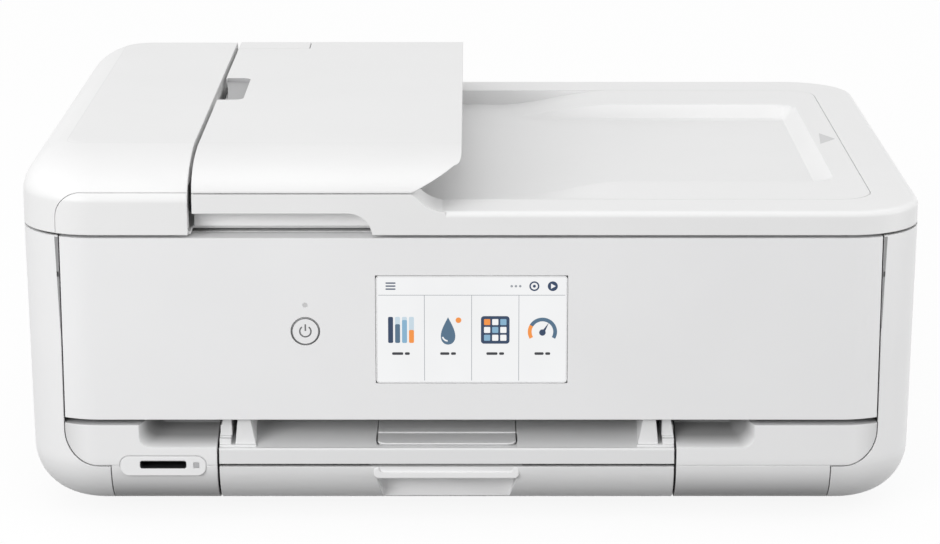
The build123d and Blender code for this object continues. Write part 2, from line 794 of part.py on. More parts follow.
def eject_roller():
    """Eject shaft with rubber rings and its pulley."""
    shaft = rod_x(-frame_x - frame_sheet - 1.5 - pulley_width, frame_x + frame_sheet + 1, eject_y, eject_z,
                  journal_radius)
    x1 = -frame_x - frame_sheet - 1.5
    roller = shaft + rod_x(x1 - pulley_width + 0.5, x1 - 0.5, eject_y, eject_z, eject_pulley)
    for index in range(6):
        x = tray_middle - 100 + index * 40
        roller = roller + rod_x(x - 8, x + 8, eject_y, eject_z, eject_radius)
    return roller


# ---- ink carriage ----

def ink_carriage():
    """Open carriage that carries the tanks and hooks over the rail."""
    x0 = carriage_park - carriage_width / 2
    x1 = carriage_park + carriage_width / 2
    y1 = belt_y - belt_pulley - belt_thick - seat_gap - 2.0
    y0 = -42.0
    body = block(x0, x1, y0, y1, carriage_low, carriage_high - 14)
    well = block(x0 + 2, x1 - 2, y0 + 2, y1 - 2, carriage_low + 14, carriage_high)
    window = block(x0 + 8, x1 - 8, -14, 26, carriage_low - 1, carriage_low + 6)
    neck = block(carriage_park - 22, carriage_park + 22, y1 - 4, rail_y + rail_thick + 6,
                 rail_z + rail_height / 2 + seat_gap, rail_z + rail_height / 2 + 4.0)
    riser = block(carriage_park - 22, carriage_park + 22, y1 - 4, y1, carriage_high - 20,
                  rail_z + rail_height / 2 + 2.0)
    return body - well - window + neck + riser


def print_head():
    """Print head set in the carriage's floor."""
    x0 = carriage_park - carriage_width / 2
    x1 = carriage_park + carriage_width / 2
    plate = block(x0 + 8.2, x1 - 8.2, -13.8, 25.8, carriage_low - 1.6, carriage_low + 6)
    nose = block(x0 + 18, x1 - 18, -8, 20, carriage_low - 3.4, carriage_low - 1.4)
    return plate + nose


def ink_tanks():
    """Row of ink tanks standing in the carriage."""
    x0 = carriage_park - carriage_width / 2 + 3
    pitch = (carriage_width - 6) / tank_count
    tanks = []
    for index in range(tank_count):
        left = x0 + index * pitch + 0.4
        right = x0 + (index + 1) * pitch - 0.4
        tank = block(left, right, -39, 34, carriage_low + 14, carriage_high - 6)
        lever = prism_x([(-39, carriage_high - 22), (-39, carriage_high - 8), (-39.9, carriage_high - 8),
                         (-39.4, carriage_high - 22)], left + 3, right - 3)
        tanks.append(tank + lever)
    return Compound(children=tanks)


# ---- front panel ----

def panel_cover():
    """Front panel skin with its openings, and the frame on its back."""
    outer = outer_form & block(-band_x + panel_side_gap, band_x - panel_side_gap, -half_d - 1, -half_d + panel_depth,
                               panel_low, panel_top)
    inner = inner_form & block(-band_x + wall, band_x - wall, -half_d - 1, -half_d + panel_depth + 1,
                               panel_low + wall, panel_top - wall)
    cover = outer - inner
    top_edge = block(-half_w, half_w, -half_d - 1, panel_pivot_y, panel_pivot_z, housing_top)
    rounding = rod_x(-half_w, half_w, panel_pivot_y, panel_pivot_z, panel_hinge_in)
    cover = cover - (top_edge - rounding)
    opening = block(display_middle - display_width / 2 + display_rim, display_middle + display_width / 2 - display_rim,
                    -half_d - 1, -half_d + wall + 1, display_z - display_height / 2 + display_rim,
                    display_z + display_height / 2 - display_rim)
    button_hole = rod_y(-half_d - 1, -half_d + wall + 1, button_x, button_z, button_radius + 0.4)
    lamp_hole = rod_y(-half_d - 1, -half_d + wall + 1, button_x, button_z + lamp_rise, lamp_radius + 0.1)
    cover = cover - opening - button_hole - lamp_hole
    for side in (-1, 1):
        x = side * 120
        rib = block(x - 1, x + 1, -half_d + wall - 0.5, -half_d + panel_depth, panel_low + 1, panel_top - 6)
        cover = cover + rib
    knuckle_end = frame_x - 2 * seat_gap
    knuckle = outer_form & rod_x(knuckle_end - knuckle_length, knuckle_end, panel_pivot_y, panel_pivot_z,
                                 panel_hinge_in)
    bore = rod_x(knuckle_end - knuckle_length / 2, knuckle_end + 1, panel_pivot_y, panel_pivot_z,
                 panel_pin + shaft_play)
    notch = rod_x(knuckle_end, frame_x + frame_sheet + 2 * seat_gap, panel_pivot_y, panel_pivot_z,
                  panel_eye + seat_gap)
    swing_room = block(knuckle_end, frame_x + frame_sheet + 2 * seat_gap, panel_pivot_y + panel_pin,
                       -half_d + panel_depth + 1, panel_pivot_z - 6, panel_pivot_z + panel_eye)
    cover = cover + knuckle + mirrored(knuckle)
    for cut in (bore, notch, swing_room):
        cover = cover - cut - mirrored(cut)
    return cover


def display_frame():
    """Rounded frame round the display, standing a little proud of the panel."""
    y0 = -half_d
    ring = Pos(display_middle, y0 + wall + 3, display_z) * Rot(90, 0, 0) * extrude(
        RectangleRounded(display_width - 2 * display_rim - 0.4, display_height - 2 * display_rim - 0.4, 2), wall + 3)
    hole = block(display_middle - display_width / 2 + display_rim + 2, display_middle + display_width / 2 - display_rim - 2,
                 y0 + 0.7, y0 + wall + 4, display_z - display_height / 2 + display_rim + 2,
                 display_z + display_height / 2 - display_rim - 2)
    seat = Pos(display_middle, y0 + 1.2, display_z) * Rot(90, 0, 0) * extrude(
        RectangleRounded(display_width - 2 * display_rim - 1.6, display_height - 2 * display_rim - 1.6, 1.4), 2)
    return ring - hole - seat


def display_glass():
    """Cover glass of the touch display."""
    return Pos(display_middle, -half_d + 1.2, display_z) * Rot(90, 0, 0) * extrude(
        RectangleRounded(display_width - 2 * display_rim - 1.8, display_height - 2 * display_rim - 1.8, 1.3), 1.0)


def display_unit():
    """Display module behind the glass."""
    return block(display_middle - display_width / 2 + 6, display_middle + display_width / 2 - 6, -half_d + 1.3,
                 -half_d + 7, display_z - display_height / 2 + 6, display_z + display_height / 2 - 6)


def panel_board():
    """Panel board with the switch under the power button."""
    y0 = -half_d + 8
    board = block(-118, 118, y0, y0 + 1.6, 80, 130)
    switch = block(button_x - 3, button_x + 3, y0 - 2, y0 + 0.2, button_z - 3, button_z + 3)
    pad = block(display_middle - 30, display_middle + 30, -half_d + 7, y0 + 0.2, display_z - 12, display_z + 12)
    return board + switch + pad


def status_lamp():
    """Light pipe of the status lamp."""
    z = button_z + lamp_rise
    pipe = rod_y(-half_d + 0.1, -half_d + 8, button_x, z, lamp_radius)
    return pipe


def power_button():
    """Round power button with its stem."""
    cap = rod_y(-half_d + button_sunk, -half_d + 3.2, button_x, button_z, button_radius)
    cap = fillet(cap.edges().group_by(Axis.Y)[0], 0.5)
    stem = rod_y(-half_d + 3, -half_d + 6 - button_travel - seat_gap, button_x, button_z, 2)
    return cap + stem


# ---- scanner unit ----

def scanner_tub():
    """Lower shell of the scanner unit."""
    x1 = band_x - move_gap
    front = -half_d + panel_depth + 3
    deep_back = half_d - 18
    tub = block(-x1, x1, front, deep_back, scanner_low, housing_top - 4)
    tail = prism_x([(deep_back - 1, scanner_pivot_z - scanner_hinge_in + 0.4), (scanner_pivot_y, scanner_pivot_z - scanner_hinge_in),
                    (half_d, scanner_pivot_z), (half_d, housing_top - 4), (deep_back - 1, housing_top - 4)], -x1, x1)
    tail_round = rod_x(-x1, x1, scanner_pivot_y, scanner_pivot_z, scanner_hinge_in)
    tail_box = block(-x1, x1, deep_back - 1, half_d, scanner_pivot_z, housing_top - 4)
    tail = (tail & (tail_round + tail_box)) + tail_round + tail_box
    tail = tail & outer_form & block(-half_w, half_w, -half_d, half_d + 1, 0, housing_top - 4)
    hollow = block(-x1 + wall, x1 - wall, front + wall, deep_back - wall, scanner_low + wall, housing_top)
    tail_hollow = block(-x1 + 30, x1 - 30, deep_back - wall - 1, half_d - 4, scanner_pivot_z, housing_top)
    return tub + tail - hollow - tail_hollow


def scanner_top():
    """Top frame of the scanner unit with the openings for both glasses."""
    x1 = band_x - move_gap
    front = -half_d + panel_depth + 3
    plate = block(-x1, x1, front, half_d - 1.5, housing_top - 4 + 0.01, housing_top - 0.4)
    plate = plate & outer_form
    main = block(glass_middle - glass_length / 2 + 3, glass_middle + glass_length / 2 - 3, -glass_width / 2 + 3,
                 glass_width / 2 - 3, housing_top - 5, housing_top + 1)
    seat = block(glass_middle - glass_length / 2 - 0.2, glass_middle + glass_length / 2 + 0.2, -glass_width / 2 - 0.2,
                 glass_width / 2 + 0.2, housing_top - 3.0, housing_top + 1)
    strip_main = block(scan_start - strip_width / 2 + 2, scan_start + strip_width / 2 - 2, -glass_width / 2 + 3,
                       glass_width / 2 - 3, housing_top - 5, housing_top + 1)
    strip_seat = block(scan_start - strip_width / 2 - 0.2, scan_start + strip_width / 2 + 0.2, -glass_width / 2 - 0.2,
                       glass_width / 2 + 0.2, housing_top - 3.0, housing_top + 1)
    return plate - main - seat - strip_main - strip_seat


def scanning_glass():
    """Large scanning glass."""
    return block(glass_middle - glass_length / 2, glass_middle + glass_length / 2, -glass_width / 2, glass_width / 2,
                 housing_top - 3.0, housing_top - 0.4)


def feeder_glass():
    """Narrow glass over which fed documents are read."""
    return block(scan_start - strip_width / 2, scan_start + strip_width / 2, -glass_width / 2, glass_width / 2,
                 housing_top - 3.0, housing_top - 0.4)


def scan_rail():
    """Round rail of the scan head, in two end blocks."""
    x1 = band_x - move_gap - wall
    z = scanner_low + wall + 5
    rail = rod_x(-x1 + 0.1, x1 - 0.1, 0, z, 2.5)
    for side in (-1, 1):
        end = side * (x1 - 5)
        rail = rail + block(end - 5 + 0.1, end + 5 - 0.1, -6, 6, scanner_low + wall, z + 3)
    return rail


def scan_head():
    """Contact image sensor bar with its slide block."""
    x0 = scan_start - scan_head_length / 2
    x1 = scan_start + scan_head_length / 2
    z = scanner_low + wall + 5
    bar = block(x0, x1, -glass_width / 2 + 2, glass_width / 2 - 2, z + 4, housing_top - 4.6)
    slot = block(scan_start - 2, scan_start + 2, -glass_width / 2 + 8, glass_width / 2 - 8, housing_top - 7, housing_top)
    shoe = block(x0, x1, -6, 6, scanner_low + wall + seat_gap, z + 4.5)
    return bar + shoe - slot - rod_x(x0 - 1, x1 + 1, 0, z, 2.5 + shaft_play)


def lid_brackets():
    """Two hinge brackets that stand on the scanner unit's back edge."""
    pieces = []
    for middle in (hinge_left, hinge_right):
        x0 = middle - hinge_width / 2 + 2
        x1 = middle + hinge_width / 2 - 2
        foot = block(x0, x1, lid_pivot_y - 22, lid_pivot_y - 1, housing_top - 0.4, housing_top + 1.0)
        post = prism_x([(lid_pivot_y - 4, housing_top - 0.4), (lid_pivot_y + 4, housing_top - 0.4),
                        (lid_pivot_y + 4, lid_pivot_z), (lid_pivot_y - 4, lid_pivot_z)], x0, x1)
        eye = rod_x(x0, x1, lid_pivot_y, lid_pivot_z, 4)
        pin = rod_x(x0 - 5, x1 + 5, lid_pivot_y, lid_pivot_z, hinge_pin_radius)
        pieces.append(foot + post + eye + pin)
    return Compound(children=pieces)


# ---- document cover ----

def slab_form(inset, low, high):
    """Rounded plan of the document cover between two heights."""
    plan = RectangleRounded(width - 2 * inset, depth - 2 * inset, corner_radius - inset)
    return extrude(Pos(0, 0, low) * plan, amount=high - low)


def rear_edge_cut():
    """What the cover's lower back edge loses to its round about the hinge line."""
    corner = block(-half_w - 1, half_w + 1, lid_pivot_y, half_d + 1, lid_bottom - 1, lid_pivot_z)
    return corner - rod_x(-half_w - 2, half_w + 2, lid_pivot_y, lid_pivot_z, lid_hinge_rise)


def strip_outline(grow):
    """Front outline of the raised strip under the document tray, with its swept right end."""
    top = strip_top - grow
    left = tray_start + grow
    return [
        Line((left, lid_bottom + 2), (left, top)),
        Line((left, top), (strip_end - grow, top)),
        Bezier((strip_end - grow, top), (strip_end + 4 - grow, top - 0.5), (strip_end + 5 - grow, lid_top + 1),
               (strip_end + 18 - grow, lid_top - 0.2)),
        Line((strip_end + 18 - grow, lid_top - 0.2), (strip_end + 18 - grow, lid_bottom + 2)),
        Line((strip_end + 18 - grow, lid_bottom + 2), (left, lid_bottom + 2)),
    ]


def raised_strip():
    """Raised front wall of the cover under the document tray."""
    face = Plane.XZ.offset(half_d) * make_face(Curve() + strip_outline(0))
    return extrude(face, amount=-(half_d + recess_front - 0.3))


def grip_recess():
    """Grip under the raised strip, with a quarter-round right end."""
    top = strip_top - 10.2
    low = lid_bottom - 1
    start = tray_start - 1
    face = make_face(Curve() + [
        Line((start, low), (start, top)),
        Line((start, top), (grip_right - 6, top)),
        Bezier((grip_right - 6, top), (grip_right + 2, top - 0.5), (grip_right + 6, low + 6), (grip_right + 6.5, low)),
        Line((grip_right + 6.5, low), (start, low)),
    ])
    return extrude(Plane.XZ.offset(half_d + 1) * face, amount=-(grip_depth + 1))


def cover_shell():
    """Upper shell of the document cover: rim, skirt, raised strip and rear block."""
    slab = slab_form(0, lid_bottom, lid_top)
    slab = fillet(slab.edges().group_by(Axis.Z)[-1], lid_round)
    slab = slab & block(tray_start, half_w + 1, -half_d - 1, half_d + 1, 0, height)
    inner = slab_form(wall, lid_bottom - 1, lid_top - wall) & block(tray_start + wall, half_w, -half_d, half_d, 0, height)
    strip = raised_strip()
    rear = block(tray_start, wedge_start - 3.2, recess_back + 0.3, half_d - 6, lid_bottom + 2, deck_z - 0.3)
    core_front = block(tray_start + wall, strip_end + 14, -half_d + wall + grip_depth, recess_front - wall, lid_bottom - 1,
                       lid_top - 2)
    well = block(tray_start - 1, recess_right + 0.3, recess_front - 0.3, recess_back + 0.3, 0, height)
    well = fillet(well.edges().filter_by(Axis.Z).group_by(Axis.X)[-1], recess_corner + 0.3)
    shell_part = slab - inner - well
    lift = block(tray_start, strip_end + 18, -half_d, recess_front - 0.3, lid_bottom + base_plate + 0.3, lid_top)
    lift = lift & slab
    shell_part = shell_part + strip + lift - grip_recess() + rear
    for middle in (hinge_left, hinge_right):
        x0 = middle - hinge_width / 2
        slot = block(x0, x0 + hinge_width, lid_pivot_y - 6, half_d + 1, lid_bottom - 1, lid_pivot_z + 5.5)
        cheek_low = lid_bottom + 0.4
        cheeks = block(x0 - 4, x0 + hinge_width + 4, lid_pivot_y - 6, half_d - 0.2, cheek_low, lid_top - 1)
        bore = rod_x(x0 - 3.5, x0 + hinge_width + 3.5, lid_pivot_y, lid_pivot_z, hinge_pin_radius + shaft_play)
        shell_part = shell_part + cheeks - bore - slot
    base_room = block(tray_start - 1, tray_start + wall + 1, -half_d + wall + 0.3, half_d, lid_bottom - 1,
                      lid_bottom + base_plate + 0.1)
    return shell_part - rear_edge_cut() - core_front - base_room


def output_recess():
    """Sunk floor on which fed documents land, with its flat rim and the ramps at the rim's left ends."""
    thick = lid_top - recess_floor + 2.0
    outer = extrude(Pos((tray_start + recess_right) / 2, (recess_front + recess_back) / 2, lid_top - thick)
                    * Rectangle(recess_right - tray_start, recess_back - recess_front), amount=thick)
    right_edges = outer.edges().filter_by(Axis.Z).group_by(Axis.X)[-1]
    outer = fillet(right_edges, recess_corner)
    front_in = recess_front + rim_in
    back_in = recess_back - rim_in
    right_in = recess_right - rim_side_in
    pool = block(ramp_high - 4, right_in, front_in, back_in, recess_floor, lid_top + 1)
    pool = fillet(pool.edges().filter_by(Axis.Z).group_by(Axis.X)[-1], 12)
    open_left = block(tray_start - 1, ramp_high, recess_front + recess_wall, recess_back - recess_wall, recess_floor,
                      lid_top + 1)
    insert = outer - pool - open_left
    slope_front = prism_y([(ramp_low, recess_floor - 1), (ramp_low, recess_floor + 0.01), (ramp_high + 0.5, lid_top),
                           (ramp_high + 0.5, recess_floor - 1)], recess_front, front_in)
    insert = insert + slope_front
    tip = (ramp_low - 2, back_in, recess_floor)
    wedge = convex_wedge(tip, (ramp_high + 0.5, back_in, lid_top), (ramp_high + 0.5, recess_back, lid_top),
                         recess_floor - 1)
    insert = insert + wedge
    under = lid_top - 3.0
    for y0, y1 in ((recess_front + 3, front_in - 3), (back_in + 3, recess_back - 3)):
        insert = insert - block(ramp_high + 8, right_in - 6, y0, y1, 0, under)
    mark = prism_z([(right_in + 3, -11), (right_in + 5.5, 19), (right_in + 13, 3)], lid_top - 1.2, lid_top + 1)
    return insert - mark


def cover_base():
    """Thin plate that closes the document cover from below."""
    outline = slab_form(wall + 0.4, lid_bottom, lid_bottom + base_plate)
    left = block(-half_w, -half_w + base_left_in, -half_d, half_d, 0, height)
    plate = outline - left
    grip = block(tray_start - 1, grip_right + 8, -half_d, -half_d + grip_depth + wall + 1, 0, height)
    rear = block(-half_w, half_w, lid_pivot_y - 6.5, half_d, 0, height)
    pad_seat = block(glass_middle - glass_length / 2 - 2.5, glass_middle + glass_length / 2 + 2.5,
                     -glass_width / 2 - 2.5, glass_width / 2 + 2.5, 0, lid_bottom + 0.6)
    window = block(scan_start - 5, scan_start + 5, -paper_long / 2, paper_long / 2, 0, height)
    return plate - grip - rear - pad_seat - window


def pressure_pad():
    """White foam pad that presses the document on the glass."""
    return block(glass_middle - glass_length / 2 - 2, glass_middle + glass_length / 2 + 2, -glass_width / 2 - 2,
                 glass_width / 2 + 2, housing_top + 0.3 - 0.4, lid_bottom + 0.6)


# ---- document feeder ----

def feeder_plan(left_in, front_in, back_in, radius, right, z, inset):
    """Plan of the feeder cover at one height."""
    x0 = -half_w + left_in + inset
    y0 = -half_d + front_in + inset
    y1 = half_d - back_in - inset
    r = radius - inset
    d = r * math.cos(math.pi / 4)
    outline = [
        Line((right, y0), (x0 + r, y0)),
        ThreePointArc((x0 + r, y0), (x0 + r - d, y0 + r - d), (x0, y0 + r)),
        Line((x0, y0 + r), (x0, y1 - r)),
        ThreePointArc((x0, y1 - r), (x0 + r - d, y1 - r + d), (x0 + r, y1)),
        Line((x0 + r, y1), (right, y1)),
        Line((right, y1), (right, y0)),
    ]
    return Pos(0, 0, z) * make_face(Curve() + outline)


def feeder_form(inset, right):
    """Soft-shouldered form of the feeder cover."""
    steps = 6
    last = math.radians(79)
    top = height - inset
    sections = []
    for index in range(steps + 1):
        angle = last * index / steps
        rise = math.sin(angle) / math.sin(last)
        shift = (1 - math.cos(angle)) / (1 - math.cos(last))
        radius = corner_radius + (feeder_corner - corner_radius) * shift
        sections.append(feeder_plan(feeder_crease_x * shift, feeder_crease_y * shift, 8 * shift, radius, right,
                                    feeder_shoulder + (top - feeder_shoulder) * rise, inset))
    crown = loft(sections)
    foot = extrude(feeder_plan(0, 0, 0, corner_radius, right, lid_bottom, inset), amount=feeder_shoulder - lid_bottom)
    return crown + foot


def fascia_region(grow):
    """Front outline of the fascia below the feeder cover's front edge."""
    x = fascia_x - grow
    top = apron_z - 0.2 + grow
    r = fascia_corner
    d = r * math.cos(math.pi / 4)
    outline = [
        Line((x, 0), (x, top - r)),
        ThreePointArc((x, top - r), (x + r - d, top - r + d), (x + r, top)),
        Line((x + r, top), (feeder_right + 5, top)),
        Line((feeder_right + 5, top), (feeder_right + 5, 0)),
        Line((feeder_right + 5, 0), (x, 0)),
    ]
    face = Plane.XZ.offset(half_d + 2) * make_face(Curve() + outline)
    return extrude(face, amount=-40)


def feeder_cover():
    """Cover of the document feeder; it opens about its lower left edge."""
    form = feeder_form(0, feeder_right)
    inner = feeder_form(wall, feeder_right - wall)
    cover = form - inner
    inner_low = block(-half_w + wall, feeder_right - wall, -half_d + wall, half_d - wall, lid_bottom - 1, lid_bottom + 2)
    inner_low = inner_low & slab_form(wall, lid_bottom - 1, lid_bottom + 2)
    cover = cover - inner_low
    inside_wall = block(feeder_right - wall - 1, feeder_right + 1, -half_d + 8, half_d - 8, 0, height - 14)
    base_room = block(feeder_right - wall - 1, feeder_right + 1, -half_d + wall, half_d, 0,
                      lid_bottom + base_plate + 0.4)
    cover = cover - inside_wall - base_room - rear_edge_cut() - (fascia_region(0.15) & block(-half_w, 0, -half_d - 2, -half_d + 6, 0, height))
    for side in (-1, 1):
        y = side * feeder_eye_y
        eye = rod_y(y - 2.5, y + 2.5, feeder_pivot_x, feeder_pivot_z, 3.0)
        hole = rod_y(y - 3, y + 3, feeder_pivot_x, feeder_pivot_z, feeder_pin + shaft_play)
        cover = cover + (eye & block(-half_w + 1, 0, -half_d, half_d, 0, height)) - hole
    return cover


def feeder_fascia():
    """Flush fascia below the feeder cover's front edge."""
    form = feeder_form(0, feeder_right) - feeder_form(wall, feeder_right)
    region = fascia_region(0) & block(-half_w, feeder_right, -half_d - 2, -half_d + 6, lid_bottom, height)
    skin = form & region
    backing = block(fascia_x + fascia_corner, feeder_right - wall, -half_d + wall - 0.01, -half_d + wall + 2.4, lid_bottom + 3,
                    apron_z - 3)
    return skin + backing


def feeder_frame():
    """Frame of the document feeder: floor, two end plates and the paper turn at the left."""
    x0 = -half_w + base_left_in + 0.5
    x1 = feeder_seam - 4.5
    z0 = lid_bottom + base_plate
    floor = block(x0, x1, -half_d + 17, half_d - 17, z0, z0 + 2)
    window = block(scan_start - 6, scan_start + 6, -paper_long / 2, paper_long / 2, z0 - 1, z0 + 3)
    pieces = [floor - window]
    for side in (-1, 1):
        y0 = side * 124 - 2
        plate = prism_y([(x0, z0), (x1, z0), (x1, height - 9), (x0 + 24, height - 9), (x0 + 4, height - 23),
                         (x0, height - 27)], y0, y0 + 4)
        for x, z in ((pick_x, pick_z), (turn_x, turn_z)):
            plate = plate - rod_y(y0 - 1, y0 + 5, x, z, journal_radius + shaft_play)
        pieces.append(plate)
    turn = rod_y(-124, 124, turn_x, turn_z, turn_radius + 5)
    turn = turn - rod_y(-125, 125, turn_x, turn_z, turn_radius + 3)
    turn = turn & block(x0, turn_x, -124, 124, turn_z - turn_radius - 5, turn_z + turn_radius + 5)
    pieces.append(turn)
    frame = merged(pieces)
    for side in (-1, 1):
        y = side * (feeder_eye_y + 5)
        post = block(x0, x0 + 6, y - 2, y + 2, z0, feeder_pivot_z + 1.5)
        arm = block(feeder_pivot_x, x0 + 1, y - 2, y + 2, feeder_pivot_z - 1.5, feeder_pivot_z + 1.5)
        tip = rod_y(y - 2, y + 2, feeder_pivot_x, feeder_pivot_z, 1.5)
        inner_y = side * (feeder_eye_y - 2.5)
        pin = rod_y(min(y, inner_y), max(y, inner_y), feeder_pivot_x, feeder_pivot_z, feeder_pin)
        frame = frame + post + arm + tip + pin
    return frame


def adf_pick_roller():
    """Pick roller over the document stack's edge."""
    shaft = rod_y(-127, 127, pick_x, pick_z, journal_radius)
    return shaft + rod_y(-18, 18, pick_x, pick_z, pick_radius)


def adf_feed_roller():
    """Feed roller with three rubber sleeves round which the document turns."""
    roller = rod_y(-127, 127, turn_x, turn_z, journal_radius)
    for y in (-70, 0, 70):
        roller = roller + rod_y(y - 16, y + 16, turn_x, turn_z, turn_radius)
    return roller


def feeder_deck():
    """Deck under the document tray on which the originals lie, with its fixed rear block."""
    z0 = deck_z
    z1 = deck_z + deck_sheet
    plate = block(tray_start + 0.2, wedge_start - 4, -half_d + 22, half_d - 8, z0, z1)
    legs = block(tray_start + 2, wedge_start - 8, -half_d + 23, -half_d + 27, strip_top + 0.01, z0 + 0.5)
    bank = block(tray_start, block_right, block_front, half_d - 3.5, z0, height)
    bank = fillet(bank.edges().filter_by(Axis.X).group_by(Axis.Y)[-1].group_by(Axis.Z)[-1], 3)
    scoop_block = block(tray_start + 0.2, tray_start + notch_length + 6, notch_front - 3, notch_back + 3, z1 - 0.2, z1 + 4)
    scoop = prism_y([(tray_start - 1, z1 + 1), (tray_start + notch_length + 7, z1 + 3.6), (tray_start + notch_length + 7, z1 + 8),
                     (tray_start - 1, z1 + 8)], notch_front - 4, notch_back + 4)
    deck = plate + legs + bank + (scoop_block - scoop)
    for side in (-1, 1):
        y = side * hinge_arm_y
        arm = prism_y([(wedge_start - 12, z0), (wedge_start - 4, z0), (tray_hinge_x - 1, tray_pivot_z - 3),
                       (tray_hinge_x + 2.6, tray_pivot_z), (tray_hinge_x, tray_pivot_z + 2.6), (wedge_start - 6, z1)],
                      y - 3, y + 3)
        eye = rod_y(y - 3, y + 3, tray_hinge_x, tray_pivot_z, 3.2)
        hole = rod_y(y - 4, y + 4, tray_hinge_x, tray_pivot_z, tray_pin + shaft_play)
        deck = deck + arm + eye - hole
    for y in (-34.0, 34.0):
        slot = block(rack_x - 4, rack_x + 4, min(y, y * 2.6), max(y, y * 2.6), z0 - 1, z1 + 1)
        deck = deck - slot
    return deck


def tray_form(inset):
    """Outer form of the document tray, moved inwards by an inset."""
    y0 = -half_d + inset
    y1 = half_d - 3.5 - inset
    low = apron_z - inset
    top = height - inset
    crease = -half_d + tray_crease_y
    side_face = Plane.YZ.offset(tray_start) * make_face(Curve() + [
        Line((y0, low), (y0, apron_z + 1)),
        Bezier((y0, apron_z + 1), (y0 + 1.5, apron_z + 9 - inset), (y0 + 14, top - 1.2), (crease + inset, top)),
        Line((crease + inset, top), (y1 - 3, top)),
        Bezier((y1 - 3, top), (y1, top), (y1, top - 3)),
        Line((y1, top - 3), (y1, low)),
        Line((y1, low), (y0, low)),
    ])
    lengthwise = extrude(side_face, amount=tray_right - tray_start)
    far = tray_right - inset
    front_face = Plane.XZ.offset(half_d + 1) * make_face(Curve() + [
        Line((tray_start + 0.001, low), (wedge_start - inset, low)),
        Line((wedge_start - inset, low), (far - 3.6, apron_z + wedge_rise - inset)),
        ThreePointArc((far - 3.6, apron_z + wedge_rise - inset), (far - 0.8, apron_z + wedge_rise + 1.2 - inset / 2),
                      (far, apron_z + wedge_rise + 3.2)),
        Line((far, apron_z + wedge_rise + 3.2), (far, top)),
        Line((far, top), (tray_start + 0.001, top)),
        Line((tray_start + 0.001, top), (tray_start + 0.001, low)),
    ])
    crosswise = extrude(front_face, amount=-(depth + 2))
    return lengthwise & crosswise


def document_tray():
    """Document tray lid that flips over to the right."""
    outer = tray_form(0)
    inner = tray_form(tray_skin) & block(tray_start + 1.8, tray_right, -half_d, half_d, 0, height)
    opening = block(tray_start + 1.8, wedge_start - 3, -half_d + 30, half_d - 6, 0, height - tray_skin - 0.01)
    left_open = block(tray_start - 1, tray_start + 2, -half_d + 16, half_d, 0, height - 6)
    tray = outer - inner - opening - left_open
    bank = block(tray_start - 1, block_right + 0.5, block_front - 0.5, half_d + 1, 0, height + 1)
    notch = block(tray_start - 1, tray_start + notch_length, notch_front, notch_back, 0, height + 1)
    notch = fillet(notch.edges().filter_by(Axis.Z).group_by(Axis.X)[-1], 5)
    floor_right = tray_start + notch_length + 2
    floor_top = height - tray_skin
    notch_plate = prism_z([(tray_start + notch_slant, notch_front - 2), (floor_right, notch_front - 2),
                           (floor_right, notch_back + 2), (tray_start + 0.5, notch_back + 2)],
                          floor_top - notch_floor, floor_top + 0.01)
    tray = tray - bank - notch + notch_plate
    for side in (-1, 1):
        y = side * hinge_arm_y
        room = block(wedge_start - 14, tray_hinge_x + 4.2, y - 4, y + 4, 0, tray_pivot_z + 4.2)
        room = room & block(-200, 0, -half_d, half_d, 0, height - 1.6)
        tray = tray - room
        tray = tray + rod_y(y - 5, y + 5, tray_hinge_x, tray_pivot_z, tray_pin)
        for cheek in (y - 6, y + 4):
            wall_piece = block(tray_hinge_x - 3, tray_hinge_x + 3, cheek, cheek + 2, tray_pivot_z - 3, height - 1)
            tray = tray + wall_piece
    return tray


def document_guide(side):
    """Side guide of the originals, with its rack under the deck."""
    z1 = deck_z + deck_sheet + seat_gap
    y_face = side * paper_long / 2
    y_out = y_face + side * 2.4
    fence = block(feeder_seam + 5, feeder_seam + 83, min(y_face, y_out), max(y_face, y_out), z1,
                  height - tray_skin - 2.5)
    y_in = y_face - side * 28
    foot = block(feeder_seam + 25, feeder_seam + 79, min(y_in, y_out), max(y_in, y_out), z1, z1 + 1.4)
    key = block(rack_x - 3, rack_x + 3, min(side * 76, side * 84), max(side * 76, side * 84), deck_z - 0.4, z1 + 0.5)
    return fence + foot + key


# ---- output tray ----

def extension_plan(grow):
    """Plan of the tray extension with its round front corners, grown by a margin."""
    x0 = extension_left + extension_groove - grow
    x1 = extension_right - extension_groove + grow
    y0 = extension_front - grow
    plan = prism_z([(x0, y0), (x1, y0), (x1, output_end - 6), (x0, output_end - 6)], 0, ramp_top + 20)
    return fillet(plan.edges().filter_by(Axis.Z).group_by(Axis.Y)[0], extension_corner + grow)


